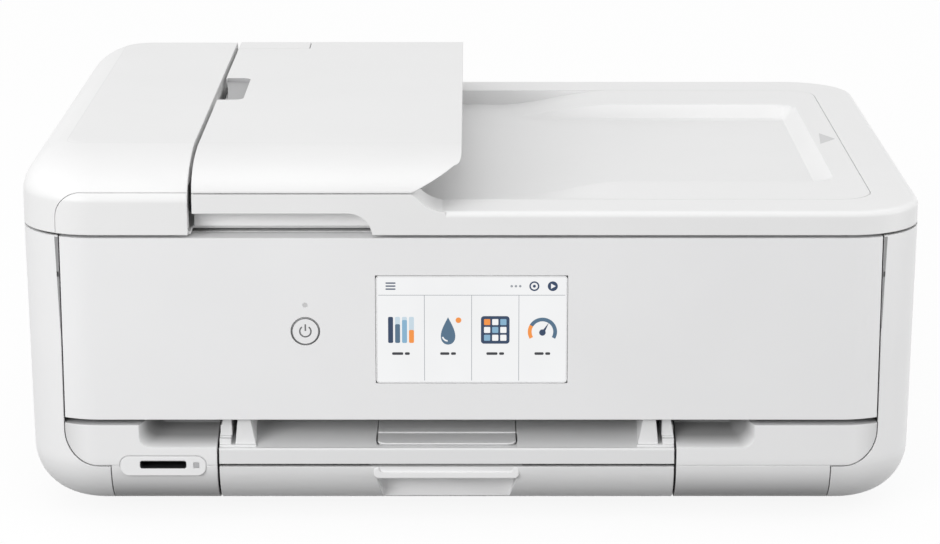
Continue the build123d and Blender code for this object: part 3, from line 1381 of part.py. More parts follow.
def output_tray():
    """Sliding output tray with its lip, slope, side guides and the pocket of its extension."""
    x0 = tray_left + cover_gap + 0.2
    x1 = tray_edge - cover_gap - 0.2
    lip_back = -half_d + lip_deep
    groove_low = extension_low - seat_gap - 2
    tray = prism_x([(-half_d, lip_low), (-half_d, lip_top - 0.8), (-half_d + 0.8, lip_top), (lip_back, lip_top),
                    (ramp_back, ramp_top), (output_end, ramp_top), (output_end, ramp_top - output_skin),
                    (ramp_back, ramp_top - output_skin), (lip_back + 12, lip_low + output_skin),
                    (lip_back + 4, lip_low)], x0, x1)
    under = prism_x([(lip_back, groove_low - 2.4), (lip_back, lip_top - 0.5), (ramp_back, ramp_top - 0.5),
                     (output_end, ramp_top - 0.5), (output_end, groove_low - 2.4)],
                    extension_left - 2.5, extension_right + 2.5)
    tray = tray + under
    pocket = extension_plan(extension_groove) & block(x0, x1, -half_d, 0, groove_low, ramp_top + 5)
    mouth = extension_plan(2 * extension_groove) & block(x0, x1, -half_d, extension_tab, groove_low, ramp_top + 5)
    bed = extension_plan(-0.4) & block(x0, x1, -half_d, 0, groove_low - 1, extension_low - seat_gap)
    open_back = block(extension_left, extension_right, output_end - 7, output_end + 1, groove_low, ramp_top + 5)
    bed_back = block(extension_left + 2, extension_right - 2, output_end - 7, output_end, groove_low - 1,
                     extension_low - seat_gap)
    path = block(extension_left + extension_groove - 0.4, extension_right - extension_groove + 0.4, lip_back - 1,
                 extension_front + extension_corner + 3, extension_low - seat_gap, ramp_top)
    tray = tray - pocket - mouth - open_back - path + bed + bed_back
    for side in (-1, 1):
        edge = x0 if side < 0 else x1
        tray = tray + tray_pillar(side, edge)
        runner = block(min(edge, edge - side * 2.5), max(edge, edge - side * 2.5), -half_d + 12, output_end,
                       lip_low, ramp_top - 0.5)
        tray = tray + runner
    return tray


def tray_pillar(side, edge):
    """Leaning stop at one end of the lip, with the clip and its bright ledge beside it."""
    low = lip_top - 1
    top = panel_low - 1.0
    near = edge - side * pillar_in
    far = edge - side * pillar_foot
    post = prism_y([(near, low), (near - side * pillar_lean, top),
                    (near - side * (pillar_lean + pillar_head), top), (far, low)], -half_d + 5, -half_d + 40)
    clip_in = edge - side * clip_width
    clip = prism_y([(edge, clip_low), (edge - side * clip_lean, top), (clip_in, top), (clip_in - side * 0.4, clip_low)],
                   -half_d + 8, -half_d + 36)
    ledge = block(min(edge, clip_in), max(edge, clip_in), -half_d + 4, -half_d + 34, lip_top - 3, clip_low - 0.6)
    neck = block(min(edge, clip_in), max(edge, clip_in), -half_d + 7, -half_d + 34, lip_top, clip_low + 0.1)
    foot = block(min(edge, far), max(edge, far), -half_d + lip_deep, -half_d + 40, lip_low + 1, lip_top + 1.0)
    return post + clip + ledge + neck + foot


def tray_extension():
    """Extension with a sloping top, a sunk tab and a flat underside that draws out over the tray's lip."""
    rise = output_slope * (extension_front + half_d - lip_deep)
    front_top = lip_top + rise + extension_proud
    tab_rise = output_slope * (extension_tab + half_d - lip_deep)
    side = prism_x([(extension_front, extension_low), (extension_front, front_top),
                    (extension_tab, lip_top + tab_rise - extension_drop), (extension_tab, lip_top + tab_rise),
                    (ramp_back, ramp_top), (output_end - 6, ramp_top), (output_end - 6, extension_low)],
                   extension_left, extension_right)
    hollow = block(extension_left + 4, extension_right - 4, ramp_back - 8, output_end - 8, extension_low - 1,
                   ramp_top - 2.2)
    return (side & extension_plan(0)) - hollow


# ---- paper cassette ----

def cassette_tray():
    """Paper cassette: curved front that follows the housing, floor, walls and recessed handle."""
    x0 = tray_left + cover_gap + 0.2
    x1 = tray_edge - cover_gap - 0.2
    front_end = -half_d + bottom_radius + cover_gap / 2
    region = block(x0, x1, -half_d - 1, front_end, 0, cassette_top)
    skin = (outer_form - inner_form) & region
    bottom = block(x0 + 1.5, x1 - 1.5, front_end - 0.5, cassette_end, floor_z + seat_gap, floor_z + seat_gap + cassette_wall)
    heel = block(x0 + 1.5, x1 - 1.5, front_end - 6, front_end, underside + 1, floor_z + seat_gap + cassette_wall)
    pieces = [skin, bottom, heel]
    for a, b in ((x0 + 1.5, x0 + 1.5 + cassette_wall), (x1 - 1.5 - cassette_wall, x1 - 1.5)):
        side_wall = block(a, b, -half_d + 2, cassette_end, floor_z + seat_gap, cassette_top - 2)
        pieces.append(side_wall & outer_form)
    pieces.append(block(x0 + 1.5, x1 - 1.5, cassette_end - cassette_wall, cassette_end, floor_z + seat_gap, cassette_top - 8))
    inner_wall = block(x0 + 2, x1 - 2, front_end, front_end + cassette_wall, floor_z + seat_gap, cassette_top)
    pieces.append(inner_wall)
    shelf_top = cassette_top - cassette_shelf
    lid = block(x0 + 0.5, x1 - 0.5, -half_d + 1.5, front_end + cassette_wall, shelf_top - 1.6, shelf_top)
    pieces.append(lid)
    tray = merged(pieces)
    tub = block(handle_left - 2, handle_right + 2, -half_d + 1, -half_d + handle_deep + 2, underside + 1.5, cassette_top)
    tub = tub & outer_form
    lean = 0.25 * handle_low
    scoop = prism_y([(handle_left + 1.2, handle_low + 1), (handle_right - 1.2, handle_low + 1),
                     (handle_right - 1.2 - lean, 0), (handle_left + 1.2 + lean, 0)],
                    -half_d - 2, -half_d + handle_deep)
    ledge_top = cassette_top
    handle_middle = (handle_left + handle_right) / 2
    ledge_plane = Pos(handle_middle, -half_d + handle_deep, (handle_low + ledge_top) / 2) * Rot(90, 0, 0)
    ledge = ledge_plane * extrude(
        RectangleRounded(handle_right - handle_left, ledge_top - handle_low, handle_end), handle_deep)
    ledge = fillet(ledge.faces().sort_by(Axis.Y)[0].edges(), 0.8)
    band_top = handle_low + handle_band
    dish = prism_x([(-half_d - 1, band_top), (-half_d + 0.8, band_top), (-half_d + 8, ledge_top - 0.3),
                    (-half_d + 8, ledge_top + 1), (-half_d - 1, ledge_top + 1)], handle_left, handle_right)
    dish_plane = Pos(handle_middle, -half_d + handle_deep, band_top + 4) * Rot(90, 0, 0)
    dish = dish & (dish_plane * extrude(
        RectangleRounded(handle_right - handle_left - 2 * handle_end, 8, handle_end), handle_deep + 2))
    ledge = ledge - dish
    under = block(handle_left + 2, handle_right - 2, -half_d + 2.2, -half_d + handle_deep - 0.5, handle_low - 1, handle_low + 3.4)
    return tray + tub - scoop + ledge - under


def paper_guide(side):
    """Side guide of the paper stack in the cassette."""
    face = tray_middle + side * (paper_long / 2 + 0.5)
    out = face + side * 1.6
    z1 = cassette_top - 3
    fence = block(min(face, out), max(face, out), -60, 60, guide_z, z1)
    inside = face - side * 30
    foot = block(min(inside, out), max(inside, out), -20, 20, guide_z, guide_z + 1.2)
    return fence + foot


def end_guide():
    """End guide of the paper stack at the cassette's front."""
    y = -128.0
    fence = block(tray_middle - 22, tray_middle + 22, y, y + 2, guide_z, cassette_top - 3)
    foot = block(tray_middle - 14, tray_middle + 14, y - 1, y + 30, guide_z, guide_z + 1.2)
    return fence + foot


def cover_screws():
    """Screws of the covers in the underside and the back wall."""
    screws = []
    for x in (-screw_side, -screw_side / 3, screw_side / 3, screw_side):
        for y in (-half_d + 43, half_d - 37):
            screws.append(rod_z(underside - 1.2, underside, x, y, screw_radius))
    for x in (-screw_side, screw_side):
        screws.append(rod_y(half_d - 0.9, half_d, x, rear_top - 7.5, screw_radius))
    return Compound(children=screws)


def build_all():
    """Make every piece and write it."""
    save("left_side_cover", mirrored(right_side_cover()))
    save("right_side_cover", right_side_cover())
    save("front_left_cover", front_left_cover())
    save("front_right_cover", front_right_cover())
    save("rear_cover", rear_cover())
    save("rear_access_cover", rear_access_cover())
    save("base_pan", base_pan())
    save("feet", feet())
    save("side_frames", Compound(children=[side_frame(-1), side_frame(1)]))
    save("paper_deck", paper_deck())
    save("platen", platen())
    save("carriage_rail", carriage_rail())
    save("drive_belts", Compound(children=[carriage_belt(), roller_belt()]))
    save("drive_motors", drive_motors())
    save("main_board", main_board())
    save("power_supply", power_supply())
    save("rear_sockets", Compound(children=[power_inlet(), usb_socket(), network_socket()]))
    save("ink_absorber", ink_absorber())
    save("cap_station", cap_station())
    save("card_reader", card_reader())
    save("turn_guide", turn_guide())
    save("pickup_arm", pickup_arm())
    save("pickup_roller", pickup_roller())
    save("feed_roller", feed_roller())
    save("eject_roller", eject_roller())
    save("ink_carriage", ink_carriage())
    save("print_head", print_head())
    save("ink_tanks", ink_tanks())
    save("panel_cover", panel_cover())
    save("display_frame", display_frame())
    save("display_glass", display_glass())
    save("panel_electronics", Compound(children=[display_unit(), panel_board()]))
    save("status_lamp", status_lamp())
    save("power_button", power_button())
    save("scanner_tub", scanner_tub())
    save("scanner_top", scanner_top())
    save("scanning_glass", Compound(children=[scanning_glass(), feeder_glass()]))
    save("scan_rail", scan_rail())
    save("scan_head", scan_head())
    save("lid_brackets", lid_brackets())
    save("cover_shell", cover_shell())
    save("output_recess", output_recess())
    save("cover_base", cover_base())
    save("pressure_pad", pressure_pad())
    save("feeder_cover", feeder_cover())
    save("feeder_fascia", feeder_fascia())
    save("feeder_frame", feeder_frame())
    save("adf_pick_roller", adf_pick_roller())
    save("adf_feed_roller", adf_feed_roller())
    save("feeder_deck", feeder_deck())
    save("document_tray", document_tray())
    save("document_guide_front", document_guide(-1))
    save("document_guide_rear", document_guide(1))
    save("output_tray", output_tray())
    save("tray_extension", tray_extension())
    save("cassette_tray", cassette_tray())
    save("paper_guide_left", paper_guide(-1))
    save("paper_guide_right", paper_guide(1))
    save("end_guide", end_guide())
    save("cover_screws", cover_screws())


os.makedirs("parts", exist_ok=True)
build_all()
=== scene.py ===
"""Looks of a white desktop inkjet printer with a scanner, a document feeder and a touch display.

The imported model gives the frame: every CAD node keeps its place and gets a finish, and the
pieces made here stand on the boxes of those nodes. Sizes are in millimetres until a mesh is made.
"""

import json
import logging
import math
from dataclasses import dataclass, field, replace
from enum import Enum
from typing import Any, Iterable, Protocol, Sequence

import bmesh
import bpy
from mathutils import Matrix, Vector
from mathutils.bvhtree import BVHTree

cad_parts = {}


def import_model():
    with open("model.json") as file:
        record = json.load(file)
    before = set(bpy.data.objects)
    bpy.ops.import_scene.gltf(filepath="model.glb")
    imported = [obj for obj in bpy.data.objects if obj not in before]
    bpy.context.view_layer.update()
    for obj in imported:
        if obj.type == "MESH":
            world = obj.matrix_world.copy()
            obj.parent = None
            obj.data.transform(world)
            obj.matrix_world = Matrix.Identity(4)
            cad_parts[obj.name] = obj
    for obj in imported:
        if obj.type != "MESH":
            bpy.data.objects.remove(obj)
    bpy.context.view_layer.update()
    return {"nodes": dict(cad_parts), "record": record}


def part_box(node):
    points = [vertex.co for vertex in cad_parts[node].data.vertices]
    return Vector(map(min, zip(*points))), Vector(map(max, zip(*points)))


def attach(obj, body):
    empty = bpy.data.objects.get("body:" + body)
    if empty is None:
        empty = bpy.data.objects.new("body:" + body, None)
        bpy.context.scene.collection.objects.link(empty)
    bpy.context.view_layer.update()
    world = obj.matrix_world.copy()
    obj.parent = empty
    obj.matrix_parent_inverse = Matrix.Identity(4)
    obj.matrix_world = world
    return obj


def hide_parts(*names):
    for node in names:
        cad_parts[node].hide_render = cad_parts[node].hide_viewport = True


LOG = logging.getLogger("printer")
MM = 0.001
MERGE_M = 1e-6
MERGE_MM = 1e-4
Colour = tuple[float, float, float]
Point2 = tuple[float, float]
Point3 = tuple[float, float, float]
Sizes = tuple[float, ...]
Outline = tuple[Point2, ...]


# ---------------------------------------------------------------- names


class Slot(Enum):
    """Material slots of the record."""

    HOUSING = "housing_white"
    PANEL = "panel_white"
    LID = "lid_white"
    TRAY = "tray_grey"
    INNER = "inner_grey"
    DARK = "dark_plastic"
    STEEL = "steel"
    RUBBER = "rubber"
    ROLLER = "roller_rubber"
    GLASS = "clear_glass"
    DISPLAY = "display_glass"
    LAMP = "lamp"
    BOARD = "board_green"
    PAD = "pad_white"
    TANK = "tank_dark"


class Tint(Enum):
    """Colours of the display's signs."""

    NAVY = (0.018, 0.045, 0.105)
    SLATE = (0.075, 0.150, 0.235)
    SKY = (0.230, 0.430, 0.600)
    MIST = (0.560, 0.680, 0.760)
    ORANGE = (0.900, 0.290, 0.045)
    PAPER = (0.900, 0.905, 0.910)
    LINE = (0.300, 0.320, 0.350)
    LABEL = (0.030, 0.032, 0.038)


# ---------------------------------------------------------------- node graphs


FLOAT = "NodeSocketFloat"
VECTOR = "NodeSocketVector"
COLOUR = "NodeSocketColor"
NOISE_LOW, NOISE_HIGH = 0.3, 0.7


class Graph:
    """Short way to write a node tree."""

    def __init__(self, tree: bpy.types.NodeTree) -> None:
        """Wraps a tree.

        Args:
            tree: the node tree to fill.
        """
        self.tree = tree

    def put(self, node: bpy.types.Node, sockets: dict[Any, Any]) -> bpy.types.Node:
        """Fills a node's inputs.

        Args:
            node: the node.
            sockets: values or sockets for its inputs, by name or number.

        Returns:
            The node.
        """
        for name, value in sockets.items():
            socket = node.inputs[name]
            if isinstance(value, bpy.types.NodeSocket):
                self.tree.links.new(value, socket)
            else:
                socket.default_value = value
        return node

    def add(self, kind: str, sockets: dict[Any, Any] | None = None, **settings: Any) -> bpy.types.Node:
        """Adds a node.

        Args:
            kind: the node's type name.
            sockets: values or sockets for its inputs, by name or number.
            settings: the node's own properties.

        Returns:
            The new node.
        """
        node = self.tree.nodes.new(kind)
        for name, value in settings.items():
            setattr(node, name, value)
        return self.put(node, sockets or {})

    def group(self, tree: bpy.types.NodeTree, sockets: dict[str, Any] | None = None) -> Any:
        """Adds a shared node group and returns its outputs."""
        return self.add("ShaderNodeGroup", sockets, node_tree=tree).outputs

    def where(self) -> bpy.types.NodeSocket:
        """Adds the object coordinates."""
        return self.add("ShaderNodeTexCoord").outputs["Object"]

    def math(self, operation: str, *values: Any) -> bpy.types.NodeSocket:
        """Adds a Math node and returns its value."""
        return self.add("ShaderNodeMath", dict(enumerate(values)), operation=operation).outputs[0]

    def vector(self, operation: str, *values: Any) -> bpy.types.Node:
        """Adds a Vector Math node and returns it."""
        return self.add("ShaderNodeVectorMath", dict(enumerate(values)), operation=operation)

    def scaled(self, vector: Any, factor: Any) -> bpy.types.NodeSocket:
        """Adds a node that scales a vector or a colour by a factor."""
        return self.put(self.vector("SCALE", vector), {"Scale": factor}).outputs["Vector"]

    def mapped(self, value: Any, low: float, high: float, to_low: float,
               to_high: float) -> bpy.types.NodeSocket:
        """Adds a clamped Map Range node.

        Args:
            value: what is mapped.
            low: start of the range it has.
            high: end of the range it has.
            to_low: start of the range it gets.
            to_high: end of the range it gets.

        Returns:
            The mapped value.
        """
        node = self.add("ShaderNodeMapRange", {0: value, 1: low, 2: high, 3: to_low, 4: to_high})
        return node.outputs[0]

    def signed(self, noise: Any) -> bpy.types.NodeSocket:
        """Maps the middle range of a noise to -1 to 1."""
        return self.mapped(noise, NOISE_LOW, NOISE_HIGH, -1.0, 1.0)


def new_group(title: str, inputs: Sequence[tuple[str, str, Any]],
              outputs: Sequence[tuple[str, str]]) -> tuple[Graph, Any, bpy.types.Node]:
    """Makes an empty shader node group with named sockets.

    Args:
        title: the group's name.
        inputs: name, socket type and default of each input.
        outputs: name and socket type of each output.

    Returns:
        The group's graph, the values that it is given, and its output node.
    """
    tree = bpy.data.node_groups.new(title, "ShaderNodeTree")
    for name, kind, value in inputs:
        socket = tree.interface.new_socket(name, in_out="INPUT", socket_type=kind)
        socket.default_value = value
    for name, kind in outputs:
        tree.interface.new_socket(name, in_out="OUTPUT", socket_type=kind)
    graph = Graph(tree)
    return graph, graph.add("NodeGroupInput").outputs, graph.add("NodeGroupOutput")


class Effects:
    """Effects that more than one finish uses, each a node group built once."""

    def __init__(self) -> None:
        """Builds all the groups."""
        self.soft_edge = self._soft_edge()
        self.grain = self._grain()
        self.handling = self._handling_and_edge_highlight()
        self.brushed = self._brushed()
        self.hollow_shade = self._painted_hollow_shade()
        self.crease = self._painted_crease_shade()

    @staticmethod
    def _soft_edge() -> bpy.types.NodeTree:
        """Rounds edges in the normal and gives a mask of where they are."""
        starts, full = 0.998, 0.80
        graph, given, out = new_group(
            "soft edge", [("Radius", FLOAT, 0.0005)], [("Normal", VECTOR), ("Edge", FLOAT)])
        bevel = graph.add("ShaderNodeBevel", {"Radius": given["Radius"]}, samples=5).outputs["Normal"]
        plain = graph.add("ShaderNodeNewGeometry").outputs["Normal"]
        dot = graph.vector("DOT_PRODUCT", bevel, plain).outputs["Value"]
        graph.put(out, {"Normal": bevel, "Edge": graph.mapped(dot, starts, full, 0.0, 1.0)})
        return graph.tree

    @staticmethod
    def _grain() -> bpy.types.NodeTree:
        """Fine spark-eroded grain of a moulding tool."""
        pit_share, cloud_scale = 0.6, 0.45
        graph, given, out = new_group(
            "moulded grain", [("Scale", FLOAT, 1800.0), ("Strength", FLOAT, 0.5)],
            [("Height", FLOAT), ("Tone", FLOAT)])
        where = graph.where()
        pits = graph.add("ShaderNodeTexVoronoi", {
            "Vector": where, "Scale": given["Scale"], "Smoothness": 0.6}, feature="SMOOTH_F1")
        cloud = graph.add("ShaderNodeTexNoise", {
            "Vector": where, "Scale": graph.math("MULTIPLY", given["Scale"], cloud_scale), "Detail": 2.0,
            "Roughness": 0.55}).outputs[0]
        height = graph.math("ADD", graph.math("MULTIPLY", pits.outputs["Distance"], pit_share), cloud)
        graph.put(out, {"Height": graph.math("MULTIPLY", height, given["Strength"]),
                        "Tone": graph.signed(cloud)})
        return graph.tree

    @staticmethod
    def _handling_and_edge_highlight() -> bpy.types.NodeTree:
        """Slow changes of tone and gloss from moulding flow and wear, and a painted highlight that lightens
        the colour along rounded edges.
        """
        graph, given, out = new_group(
            "handling", [("Scale", FLOAT, 14.0), ("Colour", COLOUR, (0.8, 0.8, 0.8, 1.0)),
                         ("Spread", FLOAT, 0.02), ("Edge", FLOAT, 0.0), ("Edge lift", FLOAT, 0.03)],
            [("Colour", COLOUR), ("Gloss", FLOAT)])
        slow = graph.add("ShaderNodeTexNoise", {"Vector": graph.where(), "Scale": given["Scale"],
                                                "Detail": 3.0, "Roughness": 0.5}).outputs[0]
        signed = graph.signed(slow)
        shade = graph.math("MULTIPLY", signed, given["Spread"])
        # painted highlight: the colour is lightened where the edge mask is high
        lift = graph.math("MULTIPLY", given["Edge"], given["Edge lift"])
        factor = graph.math("ADD", graph.math("ADD", shade, lift), 1.0)
        graph.put(out, {"Colour": graph.scaled(given["Colour"], factor), "Gloss": signed})
        return graph.tree

    @staticmethod
    def _painted_hollow_shade() -> bpy.types.NodeTree:
        """Painted shade inside a pocket that opens to the front: the colour darkens with the depth behind the
        front.
        """
        spared = 0.06
        graph, given, out = new_group(
            "hollow tone", [("Front", FLOAT, 0.0), ("Depth", FLOAT, 0.01), ("Tone", FLOAT, 0.5)],
            [("Factor", FLOAT)])
        along = graph.add("ShaderNodeSeparateXYZ", {"Vector": graph.where()}).outputs["Y"]
        behind = graph.math("SUBTRACT", along, given["Front"])
        share = graph.mapped(graph.math("DIVIDE", behind, given["Depth"]), spared, 1.0, 0.0, 1.0)
        loss = graph.math("MULTIPLY", share, graph.math("SUBTRACT", 1.0, given["Tone"]))
        graph.put(out, {"Factor": graph.math("SUBTRACT", 1.0, loss)})
        return graph.tree

    @staticmethod
    def _painted_crease_shade() -> bpy.types.NodeTree:
        """Fine darker line of painted shade along two sides of a plan, with a rounded corner between them."""
        graph, given, out = new_group(
            "crease line", [("Corner", VECTOR, (0.0, 0.0, 0.0)), ("Radius", FLOAT, 0.01),
                            ("Width", FLOAT, 0.0004)], [("Mask", FLOAT)])
        inner = graph.vector("SUBTRACT", given["Corner"], graph.where()).outputs["Vector"]
        parts = graph.add("ShaderNodeSeparateXYZ", {"Vector": inner})
        squares = []
        for axis in ("X", "Y"):
            reach = graph.math("MAXIMUM", graph.math("ADD", parts.outputs[axis], given["Radius"]), 0.0)
            squares.append(graph.math("MULTIPLY", reach, reach))
        reach = graph.math("SQRT", graph.math("ADD", *squares))
        away = graph.math("ABSOLUTE", graph.math("SUBTRACT", reach, given["Radius"]))
        share = graph.math("DIVIDE", away, given["Width"])
        graph.put(out, {"Mask": graph.mapped(share, 0.0, 1.0, 1.0, 0.0)})
        return graph.tree

    @staticmethod
    def _brushed() -> bpy.types.NodeTree:
        """Fine lines along one direction, as on rolled sheet or a ground shaft."""
        graph, given, out = new_group(
            "brushed lines", [("Stretch", VECTOR, (1.0, 60.0, 60.0)), ("Scale", FLOAT, 40.0)],
            [("Height", FLOAT), ("Tone", FLOAT)])
        stretched = graph.vector("MULTIPLY", graph.where(), given["Stretch"]).outputs["Vector"]
        lines = graph.add("ShaderNodeTexNoise", {"Vector": stretched, "Scale": given["Scale"],
                                                 "Detail": 4.0, "Roughness": 0.7}).outputs[0]
        graph.put(out, {"Height": lines, "Tone": graph.signed(lines)})
        return graph.tree


def start_material(title: str) -> tuple[bpy.types.Material, Graph, bpy.types.Node]:
    """Makes a material with a Principled shader on its output.

    Args:
        title: the material's name.

    Returns:
        The material, its graph and the shader node.
    """
    material = bpy.data.materials.new(title)
    material.use_nodes = True
    material.node_tree.nodes.clear()
    graph = Graph(material.node_tree)
    shader = graph.add("ShaderNodeBsdfPrincipled")
    graph.add("ShaderNodeOutputMaterial", {"Surface": shader.outputs["BSDF"]})
    return material, graph, shader


def rgba(colour: Colour) -> tuple[float, float, float, float]:
    """Adds full alpha to a colour."""
    return (*colour, 1.0)


# ---------------------------------------------------------------- finishes


class Finish(Protocol):
    """What every finish offers."""

    @property
    def title(self) -> str:
        """The material's name."""

    def build(self, effects: Effects) -> bpy.types.Material:
        """Builds the material from the shared node groups."""


@dataclass(frozen=True)
class MouldedPlastic:
    """Injection-moulded plastic: grained, softly edged, a little uneven in shade.

    Painted pocket shade is given by the pocket's front, its depth and the last tone; painted crease shade by
    the corner and radius of a fine darker line.
    """

    title: str
    colour: Colour
    roughness: float = 0.42
    grain_scale: float = 1900.0
    grain: float = 0.5
    spread: float = 0.012
    edge_mm: float = 0.45
    # share by which the colour is lightened along edges, a painted highlight
    edge_highlight: float = 0.02
    specular: float = 0.5
    coat: float = 0.0
    coat_roughness: float = 0.12
    bump: float = 0.5
    bump_mm: float = 0.02
    gloss_spread: float = 0.03
    gloss_grain: float = 0.02
    # front, depth and last tone of painted shade in a pocket
    hollow_shade: Point3 | None = None
    # corner, width and darkening of a fine line of painted crease shade
    crease: Point3 | None = None
    crease_mm: float = 0.5
    crease_shade_tone: float = -0.07

    def _shaded(self, graph: Graph, effects: Effects, colour: bpy.types.NodeSocket) -> bpy.types.NodeSocket:
        """Darkens the colour with painted shade in a pocket and along a crease.

        Args:
            graph: the material's graph.
            effects: the shared node groups.
            colour: the colour so far.

        Returns:
            The toned colour.
        """
        if self.hollow_shade is not None:
            front, depth, tone = self.hollow_shade
            group = graph.group(effects.hollow_shade, {"Front": front * MM, "Depth": depth * MM, "Tone": tone})
            colour = graph.scaled(colour, group["Factor"])
        if self.crease is not None:
            x, y, radius = self.crease
            group = graph.group(effects.crease, {
                "Corner": (x * MM, y * MM, 0.0), "Radius": radius * MM, "Width": self.crease_mm * MM})
            colour = graph.scaled(colour, graph.math("MULTIPLY_ADD", group["Mask"], self.crease_shade_tone, 1.0))
        return colour

    def build(self, effects: Effects) -> bpy.types.Material:
        """Builds the material from grain, soft edges, traces of wear and a painted highlight along the edges.
        """
        material, graph, shader = start_material(self.title)
        edge = graph.group(effects.soft_edge, {"Radius": self.edge_mm * MM})
        grain = graph.group(effects.grain, {"Scale": self.grain_scale, "Strength": self.grain})
        handling = graph.group(effects.handling, {
            "Colour": rgba(self.colour), "Spread": self.spread, "Edge lift": self.edge_highlight,
            "Edge": edge["Edge"]})
        bump = graph.add("ShaderNodeBump", {"Height": grain["Height"], "Normal": edge["Normal"],
                                            "Strength": self.bump, "Distance": self.bump_mm * MM})
        rough = graph.math("MULTIPLY_ADD", handling["Gloss"], self.gloss_spread, self.roughness)
        graph.put(shader, {
            "Roughness": graph.math("MULTIPLY_ADD", grain["Tone"], self.gloss_grain, rough),
            "Base Color": self._shaded(graph, effects, handling["Colour"]),
            "Normal": bump.outputs["Normal"], "Specular IOR Level": self.specular,
            "Coat Weight": self.coat, "Coat Roughness": self.coat_roughness})
        return material


@dataclass(frozen=True)
class RolledMetal:
    """Zinc-plated sheet or a ground steel shaft."""

    title: str
    colour: Colour = (0.62, 0.63, 0.64)
    roughness: float = 0.34
    stretch: Point3 = (1.0, 60.0, 60.0)
    edge_mm: float = 0.3
    spread: float = 0.06
    patches: float = 30.0
    bump: float = 0.25
    bump_mm: float = 0.02
    gloss_spread: float = 0.07

    def build(self, effects: Effects) -> bpy.types.Material:
        """Builds the material from the brushed lines and the soft edge."""
        material, graph, shader = start_material(self.title)
        edge = graph.group(effects.soft_edge, {"Radius": self.edge_mm * MM})
        lines = graph.group(effects.brushed, {"Stretch": self.stretch})
        handling = graph.group(effects.handling, {
            "Colour": rgba(self.colour), "Spread": self.spread, "Scale": self.patches})
        bump = graph.add("ShaderNodeBump", {"Height": lines["Height"], "Normal": edge["Normal"],
                                            "Strength": self.bump, "Distance": self.bump_mm * MM})
        graph.put(shader, {
            "Roughness": graph.math("MULTIPLY_ADD", lines["Tone"], self.gloss_spread, self.roughness),
            "Base Color": handling["Colour"], "Normal": bump.outputs["Normal"], "Metallic": 1.0})
        return material


@dataclass(frozen=True)
class ClearGlass:
    """Polished flat glass."""

    title: str
    tint: Colour = (0.90, 0.95, 0.94)
    patches: float = 9.0
    spread: float = 0.01
    clean: float = 0.02
    smeared: float = 0.05
    clear: float = 0.92
    ior: float = 1.5

    def build(self, effects: Effects) -> bpy.types.Material:
        """Builds a thin clear glass with faint smears in its gloss."""
        material, graph, shader = start_material(self.title)
        handling = graph.group(effects.handling, {
            "Scale": self.patches, "Colour": rgba(self.tint), "Spread": self.spread})
        graph.put(shader, {
            "Base Color": handling["Colour"],
            "Roughness": graph.mapped(handling["Gloss"], -1.0, 1.0, self.clean, self.smeared),
            "Transmission Weight": self.clear, "Metallic": 0.0, "IOR": self.ior})
        return material


@dataclass(frozen=True)
class LitSurface:
    """A surface that gives its own light behind a clear cover, such as a screen or a lamp."""

    title: str
    colour: Colour
    glow: float
    roughness: float = 0.12
    uneven: float = 0.02
    patches: float = 25.0
    unlit: Colour = (0.02, 0.02, 0.022)
    gloss_spread: float = 0.02
    specular: float = 0.25

    def build(self, effects: Effects) -> bpy.types.Material:
        """Builds the glowing material."""
        material, graph, shader = start_material(self.title)
        handling = graph.group(effects.handling, {
            "Scale": self.patches, "Colour": rgba(self.colour), "Spread": self.uneven})
        graph.put(shader, {
            "Emission Color": handling["Colour"], "Base Color": rgba(self.unlit),
            "Emission Strength": self.glow, "Specular IOR Level": self.specular,
            "Roughness": graph.math("MULTIPLY_ADD", handling["Gloss"], self.gloss_spread, self.roughness)})
        return material


@dataclass(frozen=True)
class CircuitBoard:
    """Green solder mask over copper tracks."""

    title: str
    colour: Colour = (0.030, 0.180, 0.085)
    second: Colour = (0.024, 0.150, 0.070)
    track: Colour = (0.055, 0.270, 0.130)
    pitch: float = 90.0
    track_wide: float = 0.05
    roughness: float = 0.35
    bump: float = 0.2
    bump_mm: float = 0.02

    def build(self, effects: Effects) -> bpy.types.Material:
        """Builds the board with a track pattern."""
        material, graph, shader = start_material(self.title)
        tracks = graph.add("ShaderNodeTexBrick", {
            "Vector": graph.where(), "Scale": self.pitch, "Mortar Size": self.track_wide,
            "Color1": rgba(self.colour), "Color2": rgba(self.second), "Mortar": rgba(self.track)})
        bump = graph.add("ShaderNodeBump", {"Height": graph.group(effects.grain)["Height"],
                                            "Strength": self.bump, "Distance": self.bump_mm * MM})
        graph.put(shader, {"Base Color": tracks.outputs["Color"], "Normal": bump.outputs["Normal"],
                           "Roughness": self.roughness})
        return material


